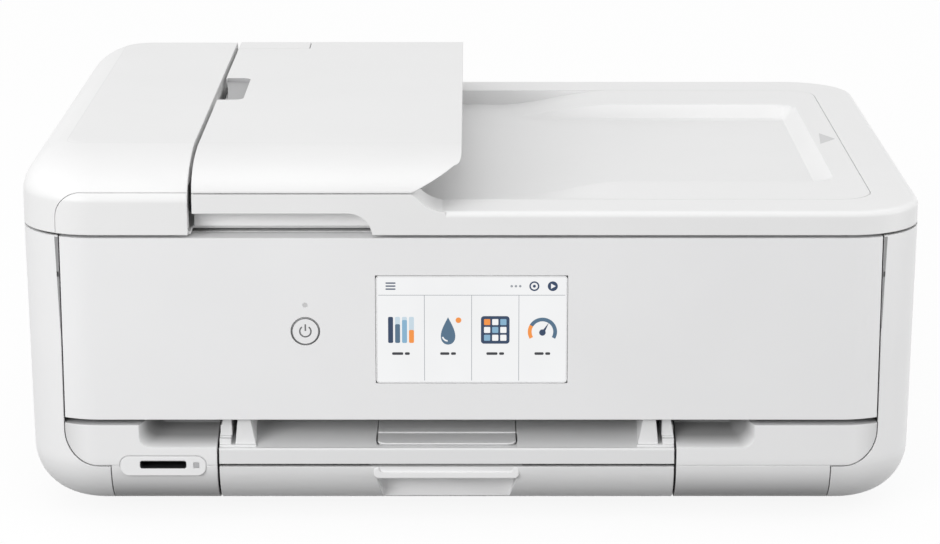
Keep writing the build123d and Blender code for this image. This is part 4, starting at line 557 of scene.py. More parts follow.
FINISHES: dict[Slot, Finish] = {
    Slot.HOUSING: MouldedPlastic("housing white", (0.80, 0.80, 0.803), roughness=0.46, edge_mm=0.8),
    Slot.PANEL: MouldedPlastic("panel white", (0.81, 0.81, 0.815), roughness=0.5, grain=0.25),
    Slot.LID: MouldedPlastic("lid white", (0.80, 0.80, 0.80), roughness=0.45, edge_mm=0.6),
    Slot.TRAY: MouldedPlastic("tray grey", (0.74, 0.742, 0.745), roughness=0.50, edge_mm=0.7),
    Slot.INNER: MouldedPlastic("inner grey", (0.30, 0.305, 0.31), roughness=0.52, spread=0.03),
    # the dark plastic gets a strong painted highlight along its edges
    Slot.DARK: MouldedPlastic("dark plastic", (0.022, 0.022, 0.024), roughness=0.48, spread=0.08,
                              edge_highlight=0.5),
    Slot.STEEL: RolledMetal("zinc sheet"),
    Slot.RUBBER: MouldedPlastic("foot rubber", (0.035, 0.035, 0.036), roughness=0.75, grain=1.0,
                                spread=0.1),
    Slot.ROLLER: MouldedPlastic("roller rubber", (0.10, 0.10, 0.105), roughness=0.68, grain=1.2,
                                spread=0.08, grain_scale=1300.0, bump_mm=0.05),
    Slot.GLASS: ClearGlass("scanner glass"),
    Slot.DISPLAY: LitSurface("lit display", (0.87, 0.875, 0.88), 0.98),
    Slot.LAMP: LitSurface("status light", (0.95, 0.95, 0.95), 0.55, roughness=0.3),
    Slot.BOARD: CircuitBoard("circuit board"),
    Slot.PAD: MouldedPlastic("foam pad foil", (0.82, 0.82, 0.815), roughness=0.6, grain=1.0,
                             grain_scale=600.0, bump_mm=0.08),
    Slot.TANK: MouldedPlastic("smoked tank plastic", (0.030, 0.030, 0.034), roughness=0.2, grain=0.1,
                              coat=0.4),
}
TICK_INK = MouldedPlastic("tick ink", (0.16, 0.16, 0.17), roughness=0.6, grain=0.1, edge_mm=0.02)
SIGN_INK = MouldedPlastic("sign ink", (0.12, 0.122, 0.125), roughness=0.5, edge_mm=0.02)
MARK_GREY = MouldedPlastic("mark grey", (0.60, 0.60, 0.605), roughness=0.5, edge_mm=0.1)
# grey of the painted shadow strips beside the front panel
SEAM_SHADOW_GREY = MouldedPlastic("seam grey", (0.27, 0.27, 0.275), roughness=0.55, edge_mm=0.05)
# grey that paints the shade inside the document tray's grip notch
NOTCH_SHADE_GREY = MouldedPlastic("notch grey", (0.37, 0.37, 0.375), roughness=0.5, edge_mm=0.1)
SMOKED_WINDOW = MouldedPlastic("smoked window", (0.42, 0.42, 0.43), roughness=0.18, grain=0.05,
                               edge_mm=0.15, coat=0.6)
LENS_ROW = MouldedPlastic("lens row", (0.55, 0.60, 0.62), roughness=0.1, grain=0.0, coat=0.8,
                          edge_mm=0.1)
SCAN_LIGHT = LitSurface("scan light", (0.85, 0.93, 1.0), 0.5, roughness=0.3)
SCREW_STEEL = RolledMetal("screw steel", (0.20, 0.20, 0.21), roughness=0.38, edge_mm=0.12)
CONTACT_GOLD = RolledMetal("gold contact", (0.78, 0.58, 0.24), roughness=0.25, edge_mm=0.05)
CAN_TIN = RolledMetal("can tin", (0.55, 0.56, 0.58), roughness=0.3, edge_mm=0.1)
TANK_TINTS = tuple(
    MouldedPlastic(f"tank tint {i}", colour, roughness=0.35, grain=0.1, edge_mm=0.1)
    for i, colour in enumerate(((0.02, 0.02, 0.022), (0.75, 0.58, 0.04), (0.62, 0.03, 0.20),
                                (0.02, 0.30, 0.55), (0.10, 0.10, 0.11))))


class FinishRack:
    """Builds each finish once and hands it out."""

    def __init__(self) -> None:
        """Builds the finishes of all the slots."""
        self.effects = Effects()
        self.by_slot = {slot: finish.build(self.effects) for slot, finish in FINISHES.items()}
        self.extra: dict[str, bpy.types.Material] = {}

    def get(self, slot: Slot) -> bpy.types.Material:
        """The material of a slot."""
        return self.by_slot[slot]

    def own(self, finish: Finish) -> bpy.types.Material:
        """The material of a finish outside the slots, built at its first use."""
        if finish.title not in self.extra:
            self.extra[finish.title] = finish.build(self.effects)
        return self.extra[finish.title]


def dress(node: bpy.types.Object, material: bpy.types.Material) -> None:
    """Puts one material on all of a node's faces."""
    node.data.materials.clear()
    node.data.materials.append(material)


# ---------------------------------------------------------------- meshes


class Sketch:
    """A mesh in the making, in millimetres, that becomes one piece."""

    def __init__(self) -> None:
        """Starts empty."""
        self.mesh = bmesh.new()

    def face(self, points: Iterable[Point3]) -> None:
        """Adds one face through new points."""
        self.mesh.faces.new([self.mesh.verts.new(p) for p in points])

    def grid(self, rows: Sequence[Sequence[Point3]], close_u: bool = False, close_v: bool = False,
             capped: bool = False) -> None:
        """Adds a surface through rows of points.

        Args:
            rows: points, row by row, all rows of one length.
            close_u: joins each row's end to its start.
            close_v: joins the last row to the first.
            capped: fills the first and the last row with a face each.
        """
        made = [[self.mesh.verts.new(p) for p in row] for row in rows]
        count_v, count_u = len(made), len(made[0])
        for v in range(count_v if close_v else count_v - 1):
            for u in range(count_u if close_u else count_u - 1):
                corners = (made[v][u], made[v][(u + 1) % count_u],
                           made[(v + 1) % count_v][(u + 1) % count_u], made[(v + 1) % count_v][u])
                if len(set(corners)) == 4:
                    self.mesh.faces.new(corners)
        if capped:
            self.face(rows[0])
            self.face(rows[-1])

    def prism(self, outline: Sequence[Point3], shift: Point3) -> None:
        """Adds a closed prism.

        Args:
            outline: corners of one end.
            shift: way from that end to the other.
        """
        low = [self.mesh.verts.new(p) for p in outline]
        high = [self.mesh.verts.new([a + b for a, b in zip(p, shift)]) for p in outline]
        self.mesh.faces.new(low)
        self.mesh.faces.new(list(reversed(high)))
        for i in range(len(low)):
            j = (i + 1) % len(low)
            self.mesh.faces.new((low[i], high[i], high[j], low[j]))

    def done(self, name: str) -> bpy.types.Mesh:
        """Ends the sketch.

        Args:
            name: the mesh's name.

        Returns:
            The mesh in metres, with its doubles merged and its faces outward.
        """
        bmesh.ops.remove_doubles(self.mesh, verts=self.mesh.verts, dist=MERGE_MM)
        bmesh.ops.recalc_face_normals(self.mesh, faces=self.mesh.faces)
        bmesh.ops.scale(self.mesh, vec=(MM, MM, MM), verts=self.mesh.verts)
        mesh = bpy.data.meshes.new(name)
        self.mesh.to_mesh(mesh)
        self.mesh.free()
        return mesh


def add_object(name: str, content: bpy.types.ID | None) -> bpy.types.Object:
    """Makes an object at the origin and puts it into the scene."""
    thing = bpy.data.objects.new(name, content)
    bpy.context.scene.collection.objects.link(thing)
    return thing


def finish_piece(name: str, mesh: bpy.types.Mesh, material: bpy.types.Material, body: str, slot: Slot,
                 smooth_deg: float = 30.0) -> bpy.types.Object:
    """Makes an object of a finished mesh and lets it ride.

    Args:
        name: the piece's name.
        mesh: its mesh, in metres and in place.
        material: its material.
        body: the CAD body it moves with.
        slot: the record's slot of its finish; not used.
        smooth_deg: angle under which faces blend.

    Returns:
        The object.
    """
    mesh.materials.clear()
    mesh.materials.append(material)
    mesh.shade_smooth()
    mesh.set_sharp_from_angle(angle=math.radians(smooth_deg))
    thing = add_object(name, mesh)
    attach(thing, body)
    return thing


LEADING = 0.25


def even_copy(node: bpy.types.Object, name: str, body: str, slot: Slot,
              sharp: float = 25.0) -> bpy.types.Object:
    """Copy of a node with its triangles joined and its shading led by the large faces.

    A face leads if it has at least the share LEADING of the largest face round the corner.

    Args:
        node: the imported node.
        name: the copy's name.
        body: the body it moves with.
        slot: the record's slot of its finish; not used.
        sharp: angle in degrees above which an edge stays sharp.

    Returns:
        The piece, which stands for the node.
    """
    work = bmesh.new()
    work.from_mesh(node.data)
    bmesh.ops.remove_doubles(work, verts=work.verts, dist=MERGE_M)
    for face in work.faces:
        face.smooth = True
    limit = math.cos(math.radians(sharp))
    normals = []
    for face in work.faces:
        for loop in face.loops:
            near = [other for other in loop.vert.link_faces if other.normal.dot(face.normal) > limit]
            largest = max([other.calc_area() for other in near], default=0.0)
            led = Vector()
            for other in near:
                area = other.calc_area()
                if area >= LEADING * largest:
                    led += other.normal * area
            normals.append(led.normalized() if led.length > 0 else face.normal.copy())
    done = bpy.data.meshes.new(name)
    work.to_mesh(done)
    work.free()
    piece = finish_piece(name, done, node.data.materials[0], body, slot, sharp)
    piece.data.normals_split_custom_set(normals)
    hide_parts(node.name)
    return piece


@dataclass(frozen=True)
class Box:
    """A CAD node's box in millimetres."""

    x0: float
    y0: float
    z0: float
    x1: float
    y1: float
    z1: float

    @classmethod
    def of(cls, node: str) -> "Box":
        """The box of a node."""
        low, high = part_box(node)
        return cls(*(v / MM for v in low), *(v / MM for v in high))

    @property
    def middle(self) -> Point3:
        """Its middle."""
        return ((self.x0 + self.x1) / 2, (self.y0 + self.y1) / 2, (self.z0 + self.z1) / 2)


def ease(value: float) -> float:
    """Smooth step from 0 to 1."""
    t = min(1.0, max(0.0, value))
    return t * t * (3 - 2 * t)


def arc(cx: float, cy: float, radius: float, start_deg: float, end_deg: float, steps: int) -> list[Point2]:
    """Points along an arc.

    Args:
        cx: centre, first coordinate.
        cy: centre, second coordinate.
        radius: its radius.
        start_deg: angle of the first point.
        end_deg: angle of the last point.
        steps: number of parts.

    Returns:
        The points.
    """
    points = []
    for i in range(steps + 1):
        a = math.radians(start_deg + (end_deg - start_deg) * i / steps)
        points.append((cx + radius * math.cos(a), cy + radius * math.sin(a)))
    return points


# ---------------------------------------------------------------- geometry nodes


GEOMETRY = "NodeSocketGeometry"
OBJECT = "NodeSocketObject"
INTEGER = "NodeSocketInt"
MATERIAL = "NodeSocketMaterial"
FACING = "facing"


@dataclass
class RepeatTree:
    """A Geometry Nodes tree with named inputs, run once on an empty object to give a plain mesh."""

    title: str
    inputs: Sequence[tuple[str, str]]
    graph: Graph = field(init=False)
    given: Any = field(init=False)
    keys: dict[str, str] = field(init=False, default_factory=dict)

    def __post_init__(self) -> None:
        """Makes the tree and its sockets."""
        self.graph = Graph(bpy.data.node_groups.new(self.title, "GeometryNodeTree"))
        sockets = self.graph.tree.interface
        sockets.new_socket("Geometry", in_out="INPUT", socket_type=GEOMETRY)
        for name, kind in (*self.inputs, ("Item", OBJECT), ("Material", MATERIAL)):
            self.keys[name] = sockets.new_socket(name, in_out="INPUT", socket_type=kind).identifier
        sockets.new_socket("Geometry", in_out="OUTPUT", socket_type=GEOMETRY)
        self.given = self.graph.add("NodeGroupInput").outputs

    def end(self, **places: Any) -> None:
        """Puts the item on the points, realizes it, sets its material and closes the tree.

        Args:
            places: inputs of the Instance on Points node, at least Points.
        """
        item = self.graph.add("GeometryNodeObjectInfo", {"Object": self.given["Item"]})
        laid = self.graph.add("GeometryNodeInstanceOnPoints", {
            **places, "Instance": item.outputs["Geometry"]})
        real = self.graph.add("GeometryNodeRealizeInstances", {"Geometry": laid.outputs[0]})
        coloured = self.graph.add("GeometryNodeSetMaterial", {
            "Geometry": real.outputs["Geometry"], "Material": self.given["Material"]})
        self.graph.add("NodeGroupOutput", {0: coloured.outputs["Geometry"]})

    def run(self, base: bpy.types.Mesh | None = None, **values: Any) -> bpy.types.Mesh:
        """Runs the tree.

        Args:
            base: mesh that the tree starts from, if it needs one.
            values: one value for each named input, spaces written as underscores.

        Returns:
            The finished mesh, in metres.
        """
        holder = add_object("holder", base or bpy.data.meshes.new("holder"))
        modifier = holder.modifiers.new("repeat", "NODES")
        modifier.node_group = self.graph.tree
        for name, value in values.items():
            modifier[self.keys[name.replace("_", " ")]] = value
        holder.update_tag()
        bpy.context.view_layer.update()
        ready = holder.evaluated_get(bpy.context.evaluated_depsgraph_get())
        mesh = bpy.data.meshes.new_from_object(ready)
        holder.modifiers.clear()
        bpy.data.objects.remove(holder)
        return mesh


class Repeats:
    """The trees that lay out what repeats."""

    def __init__(self) -> None:
        """Builds the trees."""
        self.row = self._row()
        self.block = self._block()
        self.places = self._places()

    @staticmethod
    def _row() -> RepeatTree:
        """One item repeated along a straight row."""
        tree = RepeatTree("straight row", [("Count", INTEGER), ("Start", VECTOR), ("Step", VECTOR)])
        line = tree.graph.add("GeometryNodeMeshLine", {
            "Count": tree.given["Count"], "Start Location": tree.given["Start"],
            "Offset": tree.given["Step"]}, mode="OFFSET")
        tree.end(Points=line.outputs[0])
        return tree

    @staticmethod
    def _block() -> RepeatTree:
        """Items of uneven size on a grid of places, some left out, from a fixed seed."""
        tree = RepeatTree("seeded block", [
            ("Size", VECTOR), ("Middle", VECTOR), ("Count X", INTEGER), ("Count Y", INTEGER),
            ("Low", VECTOR), ("High", VECTOR), ("Fill", FLOAT), ("Seed", INTEGER)])
        graph, given = tree.graph, tree.given
        size = graph.add("ShaderNodeSeparateXYZ", {0: given["Size"]})
        grid = graph.add("GeometryNodeMeshGrid", {
            "Size X": size.outputs[0], "Size Y": size.outputs[1], "Vertices X": given["Count X"],
            "Vertices Y": given["Count Y"]})
        moved = graph.add("GeometryNodeTransform", {
            "Geometry": grid.outputs[0], "Translation": given["Middle"]})
        scale = graph.add("FunctionNodeRandomValue", {
            "Min": given["Low"], "Max": given["High"], "Seed": given["Seed"]}, data_type="FLOAT_VECTOR")
        keep = graph.add("FunctionNodeRandomValue", {
            "Probability": given["Fill"], "Seed": given["Seed"]}, data_type="BOOLEAN")
        tree.end(Points=moved.outputs[0], Selection=keep.outputs[3], Scale=scale.outputs[0])
        return tree

    @staticmethod
    def _places() -> RepeatTree:
        """One item on each vertex of the base mesh, turned the way the vertex faces."""
        tree = RepeatTree("given places", [])
        normal = tree.graph.add("GeometryNodeInputNamedAttribute", {"Name": FACING},
                                data_type="FLOAT_VECTOR")
        turn = tree.graph.add("FunctionNodeAlignRotationToVector", {"Vector": normal.outputs[0]}, axis="X")
        tree.end(Points=tree.given[0], Rotation=turn.outputs[0])
        return tree


def place_mesh(places: Sequence[Sequence[float]], facings: Sequence[Sequence[float]]) -> bpy.types.Mesh:
    """A mesh of bare points, each with the way its item faces.

    Args:
        places: the points in millimetres.
        facings: one direction for each point.

    Returns:
        The mesh, in metres.
    """
    mesh = bpy.data.meshes.new("places")
    mesh.from_pydata([vec(*p) for p in places], [], [])
    facing = mesh.attributes.new(FACING, "FLOAT_VECTOR", "POINT")
    for i, way in enumerate(facings):
        facing.data[i].vector = way
    return mesh


def vec(x: float, y: float, z: float) -> Point3:
    """Millimetres to metres."""
    return (x * MM, y * MM, z * MM)


class Workshop:
    """What every sub-assembly needs: the finishes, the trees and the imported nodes."""

    def __init__(self, nodes: dict[str, bpy.types.Object]) -> None:
        """Builds the finishes and the trees.

        Args:
            nodes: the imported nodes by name.
        """
        self.rack = FinishRack()
        self.repeats = Repeats()
        self.nodes = nodes

    def piece(self, name: str, sketch: Sketch, body: str, slot: Slot,
              finish: Finish | None = None) -> bpy.types.Object:
        """Makes one piece of a sketch.

        Args:
            name: the piece's name.
            sketch: its shape.
            body: the body it moves with.
            slot: the record's slot of its finish.
            finish: its finish, if it isn't the slot's own.

        Returns:
            The piece.
        """
        return finish_piece(name, sketch.done(name), self.material(slot, finish), body, slot)

    def material(self, slot: Slot, finish: Finish | None) -> bpy.types.Material:
        """The material of a finish, or of the slot if there is none."""
        return self.rack.own(finish) if finish else self.rack.get(slot)

    def lay(self, name: str, tree: RepeatTree, item: Sketch, body: str, slot: Slot,
            finish: Finish | None = None, base: bpy.types.Mesh | None = None,
            **values: Any) -> bpy.types.Object:
        """Repeats an item and makes one piece of the result.

        Args:
            name: the piece's name.
            tree: the tree that lays it out.
            item: what is repeated, about the origin.
            body: the body it moves with.
            slot: the record's slot of its finish.
            finish: its finish, if it isn't the slot's own.
            base: mesh that the tree starts from.
            values: the tree's other inputs; lengths in metres.

        Returns:
            The piece.
        """
        material = self.material(slot, finish)
        thing = add_object("item", item.done("item"))
        mesh = tree.run(base, Item=thing, Material=material, **values)
        bpy.data.objects.remove(thing)
        mesh.name = name
        return finish_piece(name, mesh, material, body, slot)

    def row(self, name: str, item: Sketch, body: str, slot: Slot, count: int, start: Point3, step: Point3,
            finish: Finish | None = None) -> bpy.types.Object:
        """Lays an item out along a straight row.

        Args:
            name: the piece's name.
            item: what is repeated, about the origin.
            body: the body it moves with.
            slot: the record's slot of its finish.
            count: number of items.
            start: place of the first, in millimetres.
            step: way from one to the next, in millimetres.
            finish: its finish, if it isn't the slot's own.

        Returns:
            The piece.
        """
        return self.lay(name, self.repeats.row, item, body, slot, finish, Count=count, Start=vec(*start),
                        Step=vec(*step))

    def islands(self, node: str) -> list[tuple[Vector, Vector]]:
        """Finds the separate lumps of a node.

        Args:
            node: the node's name.

        Returns:
            Lowest and highest corner of each lump in millimetres, from left to right.
        """
        mesh = bmesh.new()
        mesh.from_mesh(self.nodes[node].data)
        bmesh.ops.remove_doubles(mesh, verts=mesh.verts, dist=MERGE_M)
        left = set(mesh.verts)
        found = []
        while left:
            stack = [left.pop()]
            low, high = stack[0].co.copy(), stack[0].co.copy()
            while stack:
                vert = stack.pop()
                low = Vector(map(min, low, vert.co))
                high = Vector(map(max, high, vert.co))
                for edge in vert.link_edges:
                    other = edge.other_vert(vert)
                    if other in left:
                        left.remove(other)
                        stack.append(other)
            found.append((low / MM, high / MM))
        mesh.free()
        return sorted(found, key=lambda pair: tuple(pair[0]))


@dataclass
class SubAssembly:
    """A part of the printer that builds its own pieces."""

    shop: Workshop

    def build(self) -> None:
        """Builds the pieces."""
        raise NotImplementedError


def turned(profile: Sequence[Point2], axis: int, steps: int) -> Sketch:
    """Turns a profile about an axis.

    Args:
        profile: places along the axis, each with its radius.
        axis: 0 for X, 1 for Y and 2 for Z.
        steps: parts of the turn.

    Returns:
        The sketch.
    """
    rows = []
    for along, radius in profile:
        angles = [2 * math.pi * k / steps for k in range(steps)]
        ring = [(radius * math.cos(a), radius * math.sin(a)) for a in angles]
        rows.append([(*p[:axis], along, *p[axis:]) for p in ring])
    sketch = Sketch()
    sketch.grid(rows, close_u=True)
    return sketch


def rounded_block(x: float, y: float, z: float, soft: float) -> Sketch:
    """Block about the origin with rounded edges.

    Args:
        x: its length.
        y: its width.
        z: its height.
        soft: size of the rounding.

    Returns:
        The sketch.
    """
    sketch = Sketch()
    made = bmesh.ops.create_cube(sketch.mesh, size=1.0)["verts"]
    bmesh.ops.scale(sketch.mesh, vec=(x, y, z), verts=made)
    bmesh.ops.bevel(sketch.mesh, geom=list(sketch.mesh.edges), offset=soft, segments=2, affect="EDGES",
                    profile=0.5)
    return sketch


# ---------------------------------------------------------------- the studio


@dataclass(frozen=True)
class Softbox:
    """One rectangular lamp of the studio, in metres and watts."""

    title: str
    place: Point3
    aim: Point3
    wide: float
    high: float
    power: float


SOFTBOXES = (
    Softbox("top softbox", (0.0, 0.1, 1.9), (0.0, 0.0, 0.1), 2.2, 2.0, 1.5),
    Softbox("front key", (-1.4, -1.9, 0.75), (0.0, -0.1, 0.08), 1.5, 0.9, 30),
    Softbox("right side", (2.4, -0.5, 0.16), (0.0, 0.0, 0.10), 1.0, 0.26, 20),
)
WHITE = (1.0, 1.0, 1.0)


@dataclass
class Studio:
    """Pale floor, soft lamps and the camera; lengths in metres where the name says nothing else."""

    floor_half: float = 6.0
    focal_mm: float = 116.8
    sensor_mm: float = 36.0
    camera_place: Point3 = (-0.0005, -1.706, 0.5184)
    camera_tilt_deg: float = 75.884
    clip: tuple[float, float] = (0.05, 60.0)
    ambient: float = 0.85
    floor_bounce: float = 0.10
    floor_white: float = 0.90
    floor_pale: Colour = (0.95, 0.95, 0.95)

    def build(self) -> None:
        """Builds floor, world, lamps and camera."""
        self._floor()
        self._world()
        for box in SOFTBOXES:
            self._lamp(box)
        self._camera()

    @staticmethod
    def _direct(graph: Graph) -> bpy.types.NodeSocket:
        """1 for rays from the camera, through glass or off a gloss, and 0 for all others."""
        path = graph.add("ShaderNodeLightPath").outputs
        return graph.math("MAXIMUM", path["Is Camera Ray"], graph.math(
            "MAXIMUM", path["Is Glossy Ray"], path["Is Transmission Ray"]))

    def _floor(self) -> None:
        """A wide floor that keeps the shadow and shows white to the camera."""
        mesh = bpy.data.meshes.new("floor")
        r = self.floor_half
        mesh.from_pydata([(-r, -r, 0), (r, -r, 0), (r, r, 0), (-r, r, 0)], [], [(0, 1, 2, 3)])
        material = bpy.data.materials.new("pale floor")
        material.use_nodes = True
        material.node_tree.nodes.clear()
        graph = Graph(material.node_tree)
        bounce = graph.add("ShaderNodeBsdfDiffuse", {"Color": rgba((self.floor_bounce,) * 3)})
        pale = graph.add("ShaderNodeBsdfDiffuse", {"Color": rgba(self.floor_pale)})
        white = graph.add("ShaderNodeEmission", {"Color": rgba(WHITE), "Strength": 1.0})
        seen = graph.add("ShaderNodeMixShader", {
            0: self.floor_white, 1: pale.outputs[0], 2: white.outputs[0]})
        mix = graph.add("ShaderNodeMixShader", {
            0: self._direct(graph), 1: bounce.outputs[0], 2: seen.outputs[0]})
        graph.add("ShaderNodeOutputMaterial", {"Surface": mix.outputs[0]})
        mesh.materials.append(material)
        floor = add_object("floor", mesh)

    def _world(self) -> None:
        """White to the camera, a plain soft light to everything else."""
        world = bpy.data.worlds.new("studio world")
        bpy.context.scene.world = world
        world.use_nodes = True
        world.node_tree.nodes.clear()
        graph = Graph(world.node_tree)
        ambient, white = (graph.add("ShaderNodeBackground", {"Color": rgba(WHITE), "Strength": strength})
                          for strength in (self.ambient, 1.0))
        mix = graph.add("ShaderNodeMixShader", {
            0: self._direct(graph), 1: ambient.outputs[0], 2: white.outputs[0]})
        graph.add("ShaderNodeOutputWorld", {"Surface": mix.outputs[0]})

    @staticmethod
    def _lamp(box: Softbox) -> None:
        """Hangs one softbox.

        Args:
            box: its place, size and power.
        """
        light = bpy.data.lights.new(box.title, "AREA")
        light.shape = "RECTANGLE"
        light.size = box.wide
        light.size_y = box.high
        light.energy = box.power
        lamp = add_object(box.title, light)
        lamp.location = box.place
        lamp.rotation_euler = (Vector(box.aim) - Vector(box.place)).to_track_quat("-Z", "Y").to_euler()

    def _camera(self) -> None:
        """Sets the camera and the plain view transform."""
        lens = bpy.data.cameras.new("camera")
        lens.lens = self.focal_mm
        lens.sensor_width = self.sensor_mm
        lens.clip_start, lens.clip_end = self.clip
        camera = add_object("camera", lens)
        camera.location = self.camera_place
        camera.rotation_euler = (math.radians(self.camera_tilt_deg), 0.0, 0.0)
        bpy.context.scene.camera = camera
        bpy.context.scene.view_settings.view_transform = "Standard"


# ---------------------------------------------------------------- document cover


@dataclass
class OutputRecess(SubAssembly):
    """Sunk floor on the lid with its rim, whose left ends sweep down to the floor."""

    rim: float = 44.5
    rim_side: float = 15.2
    drop: float = 8.5
    corner: float = 18.0
    pool_corner: float = 12.0
    wall_run: float = 7.0
    ramp_high: float = 84.0
    ramp_low: float = 18.0
    step: float = 2.5
    wall: float = 1.2
    wall_short: float = 4.0
    overlap: float = 0.3
    least: float = 0.05
    mark: Outline = ((3.0, -11.0), (5.5, 19.0), (13.0, 3.0))
    mark_high: float = 0.34

    def height(self, x: float, y: float, area: Box) -> float:
        """Height of the surface at one place.

        Args:
            x: place across.
            y: place along.
            area: the box of the recess.

        Returns:
            Height above the floor of the recess, from 0 to the drop.
        """
        x_in = area.x1 - self.rim_side
        y_low, y_high = area.y0 + self.rim, area.y1 - self.rim
        dx = x - x_in
        dy = max(y_low - y, y - y_high)
        r = self.pool_corner
        if dx > -r and dy > -r:
            out = math.hypot(dx + r, dy + r) - r
        else:
            out = max(dx, dy)
        side = ease((out + self.wall_run) / self.wall_run)
        if dx > -r and dx >= dy:
            return self.drop * side
        sweep = ease((x - self.ramp_low) / (self.ramp_high - self.ramp_low))
        return self.drop * side * max(sweep, ease((dx + self.wall_run) / self.wall_run))

    def build(self) -> None:
        """Builds the sunk surface over its node and hides the node."""
        area = Box.of("output_recess")
        xs = steps_between(area.x0, area.x1, self.step)
        rows = []
        for y in steps_between(area.y0, area.y1, self.step):
            inside = [self._inside(x, y, area) for x in xs]
            rows.append([(px, py, area.z1 - self.drop + self.height(px, py, area)) for px, py in inside])
        sketch = Sketch()
        sketch.grid(rows)
        skirt = boundary_loop(rows)
        low = [(p[0], p[1], area.z0) for p in skirt]
        sketch.grid([skirt, low], close_u=True)
        sketch.face(low)
        piece = self.shop.piece("recess_surface", sketch, "document_cover", Slot.LID)
        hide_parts("output_recess")
        self._side_walls(area)
        self._mark(area)

    def _side_walls(self, area: Box) -> None:
        """Upright walls at the front and back, above the sweep of the rim."""
        sketch = Sketch()
        for y_edge, way in ((area.y0, 1.0), (area.y1, -1.0)):
            rows = []
            inner = y_edge + way * self.wall
            for x in steps_between(area.x0, self.ramp_high - self.wall_short, self.step):
                low = area.z1 - self.drop + self.height(x, y_edge, area) - self.overlap
                low = min(low, area.z1 - self.least)
                rows.append([(x, y_edge, low), (x, y_edge, area.z1), (x, inner, area.z1), (x, inner, low)])
            sketch.grid(rows, close_u=True, capped=True)
        self.shop.piece("recess_walls", sketch, "document_cover", Slot.LID)

    def _mark(self, area: Box) -> None:
        """Small three-cornered mark on the right rim, where fed sheets end."""
        x = area.x1 - self.rim_side
        sketch = Sketch()
        sketch.prism([(x + dx, y, area.z1 - self.overlap) for dx, y in self.mark],
                     (0.0, 0.0, self.mark_high))
        self.shop.piece("rim_mark", sketch, "document_cover", Slot.LID, MARK_GREY)

    def _inside(self, x: float, y: float, area: Box) -> Point2:
        """Pulls a point at a right corner onto the rounded corner.

        Args:
            x: place across.
            y: place along.
            area: the box of the recess.

        Returns:
            The point's new place.
        """
        r = self.corner
        cx = area.x1 - r
        for cy, sign in ((area.y0 + r, -1.0), (area.y1 - r, 1.0)):
            if x > cx and (y - cy) * sign > 0:
                dx, dy = x - cx, abs(y - cy)
                scale = max(dx, dy) / math.hypot(dx, dy)
                return cx + dx * scale, cy + sign * dy * scale
        return x, y


def steps_between(low: float, high: float, step: float) -> list[float]:
    """Even stations from low to high."""
    count = max(1, round((high - low) / step))
    return [low + (high - low) * i / count for i in range(count + 1)]


def boundary_loop(rows: Sequence[Sequence[Point3]]) -> list[Point3]:
    """Finds the outer points of a grid.

    Args:
        rows: the grid's points, row by row.

    Returns:
        The points in order round it.
    """
    loop = list(rows[0])
    loop += [row[-1] for row in rows[1:]]
    loop += list(reversed(rows[-1][:-1]))
    loop += [row[0] for row in reversed(rows[1:-1])]
    return loop


# ---------------------------------------------------------------- front panel


class DisplayArt:
    """Flat signs on the lit display, drawn as thin inlays in the plane of its glass."""

    layer_mm = 0.012
    inlay_mm = 0.011
    facet_deg = 10.0

    def __init__(self, front: float) -> None:
        """Starts with no signs.

        Args:
            front: Y of the glass's front.
        """
        self.front = front
        self.sketches: dict[Tint, Sketch] = {}

    def shape(self, tint: Tint, outline: Sequence[Point2], layer: int = 1) -> None:
        """Adds a filled outline.

        Args:
            tint: its colour.
            outline: its corners, across and up.
            layer: how many layers it stands before the glass.
        """
        sketch = self.sketches.setdefault(tint, Sketch())
        y = self.front - self.layer_mm * layer
        sketch.prism([(px, y, pz) for px, pz in outline], (0.0, self.inlay_mm * layer, 0.0))

    def bar(self, tint: Tint, x0: float, x1: float, z0: float, z1: float, radius: float = 0.0,
            layer: int = 1) -> None:
        """Adds a rectangle, with round corners where a radius is given."""
        self.shape(tint, rounded(x0, x1, z0, z1, radius), layer)

    def disc(self, tint: Tint, cx: float, cz: float, radius: float, layer: int = 1, start: float = 0.0,
             end: float = 360.0, hole: float = 0.0) -> None:
        """Adds a disc, a ring or a part of one.

        Args:
            tint: its colour.
            cx: centre across.
            cz: centre up.
            radius: outer radius.
            layer: its layer.
            start: first angle.
            end: last angle.
            hole: inner radius.
        """
        steps = max(6, int(abs(end - start) / self.facet_deg))
        for i in range(steps):
            a = start + (end - start) * i / steps
            b = start + (end - start) * (i + 1) / steps
            rim = arc(cx, cz, radius, a, b, 1)
            core = arc(cx, cz, hole, b, a, 1) if hole else [(cx, cz)]
            self.shape(tint, rim + core, layer)

    def build(self, shop: Workshop, glow: float) -> None:
        """Turns the signs into pieces, one for each colour.

        Args:
            shop: what makes the pieces.
            glow: strength of their light.
        """
        for tint, sketch in self.sketches.items():
            title = tint.name.lower()
            shop.piece("display_sign_" + title, sketch, "front_panel", Slot.DISPLAY,
                       LitSurface("display " + title, tint.value, glow))


def rounded(x0: float, x1: float, z0: float, z1: float, radius: float, steps: int = 5) -> list[Point2]:
    """Corners of a rectangle with round corners.

    Args:
        x0: low side across.
        x1: high side across.
        z0: low side up.
        z1: high side up.
        radius: radius of the corners.
        steps: parts of each corner.

    Returns:
        The points, in order.
    """
    if radius <= 0:
        return [(x0, z0), (x1, z0), (x1, z1), (x0, z1)]
    points: list[Point2] = []
    for cx, cz, start in ((x1 - radius, z0 + radius, -90), (x1 - radius, z1 - radius, 0),
                          (x0 + radius, z1 - radius, 90), (x0 + radius, z0 + radius, 180)):
        points += arc(cx, cz, radius, start, start + 90, steps)
    return points


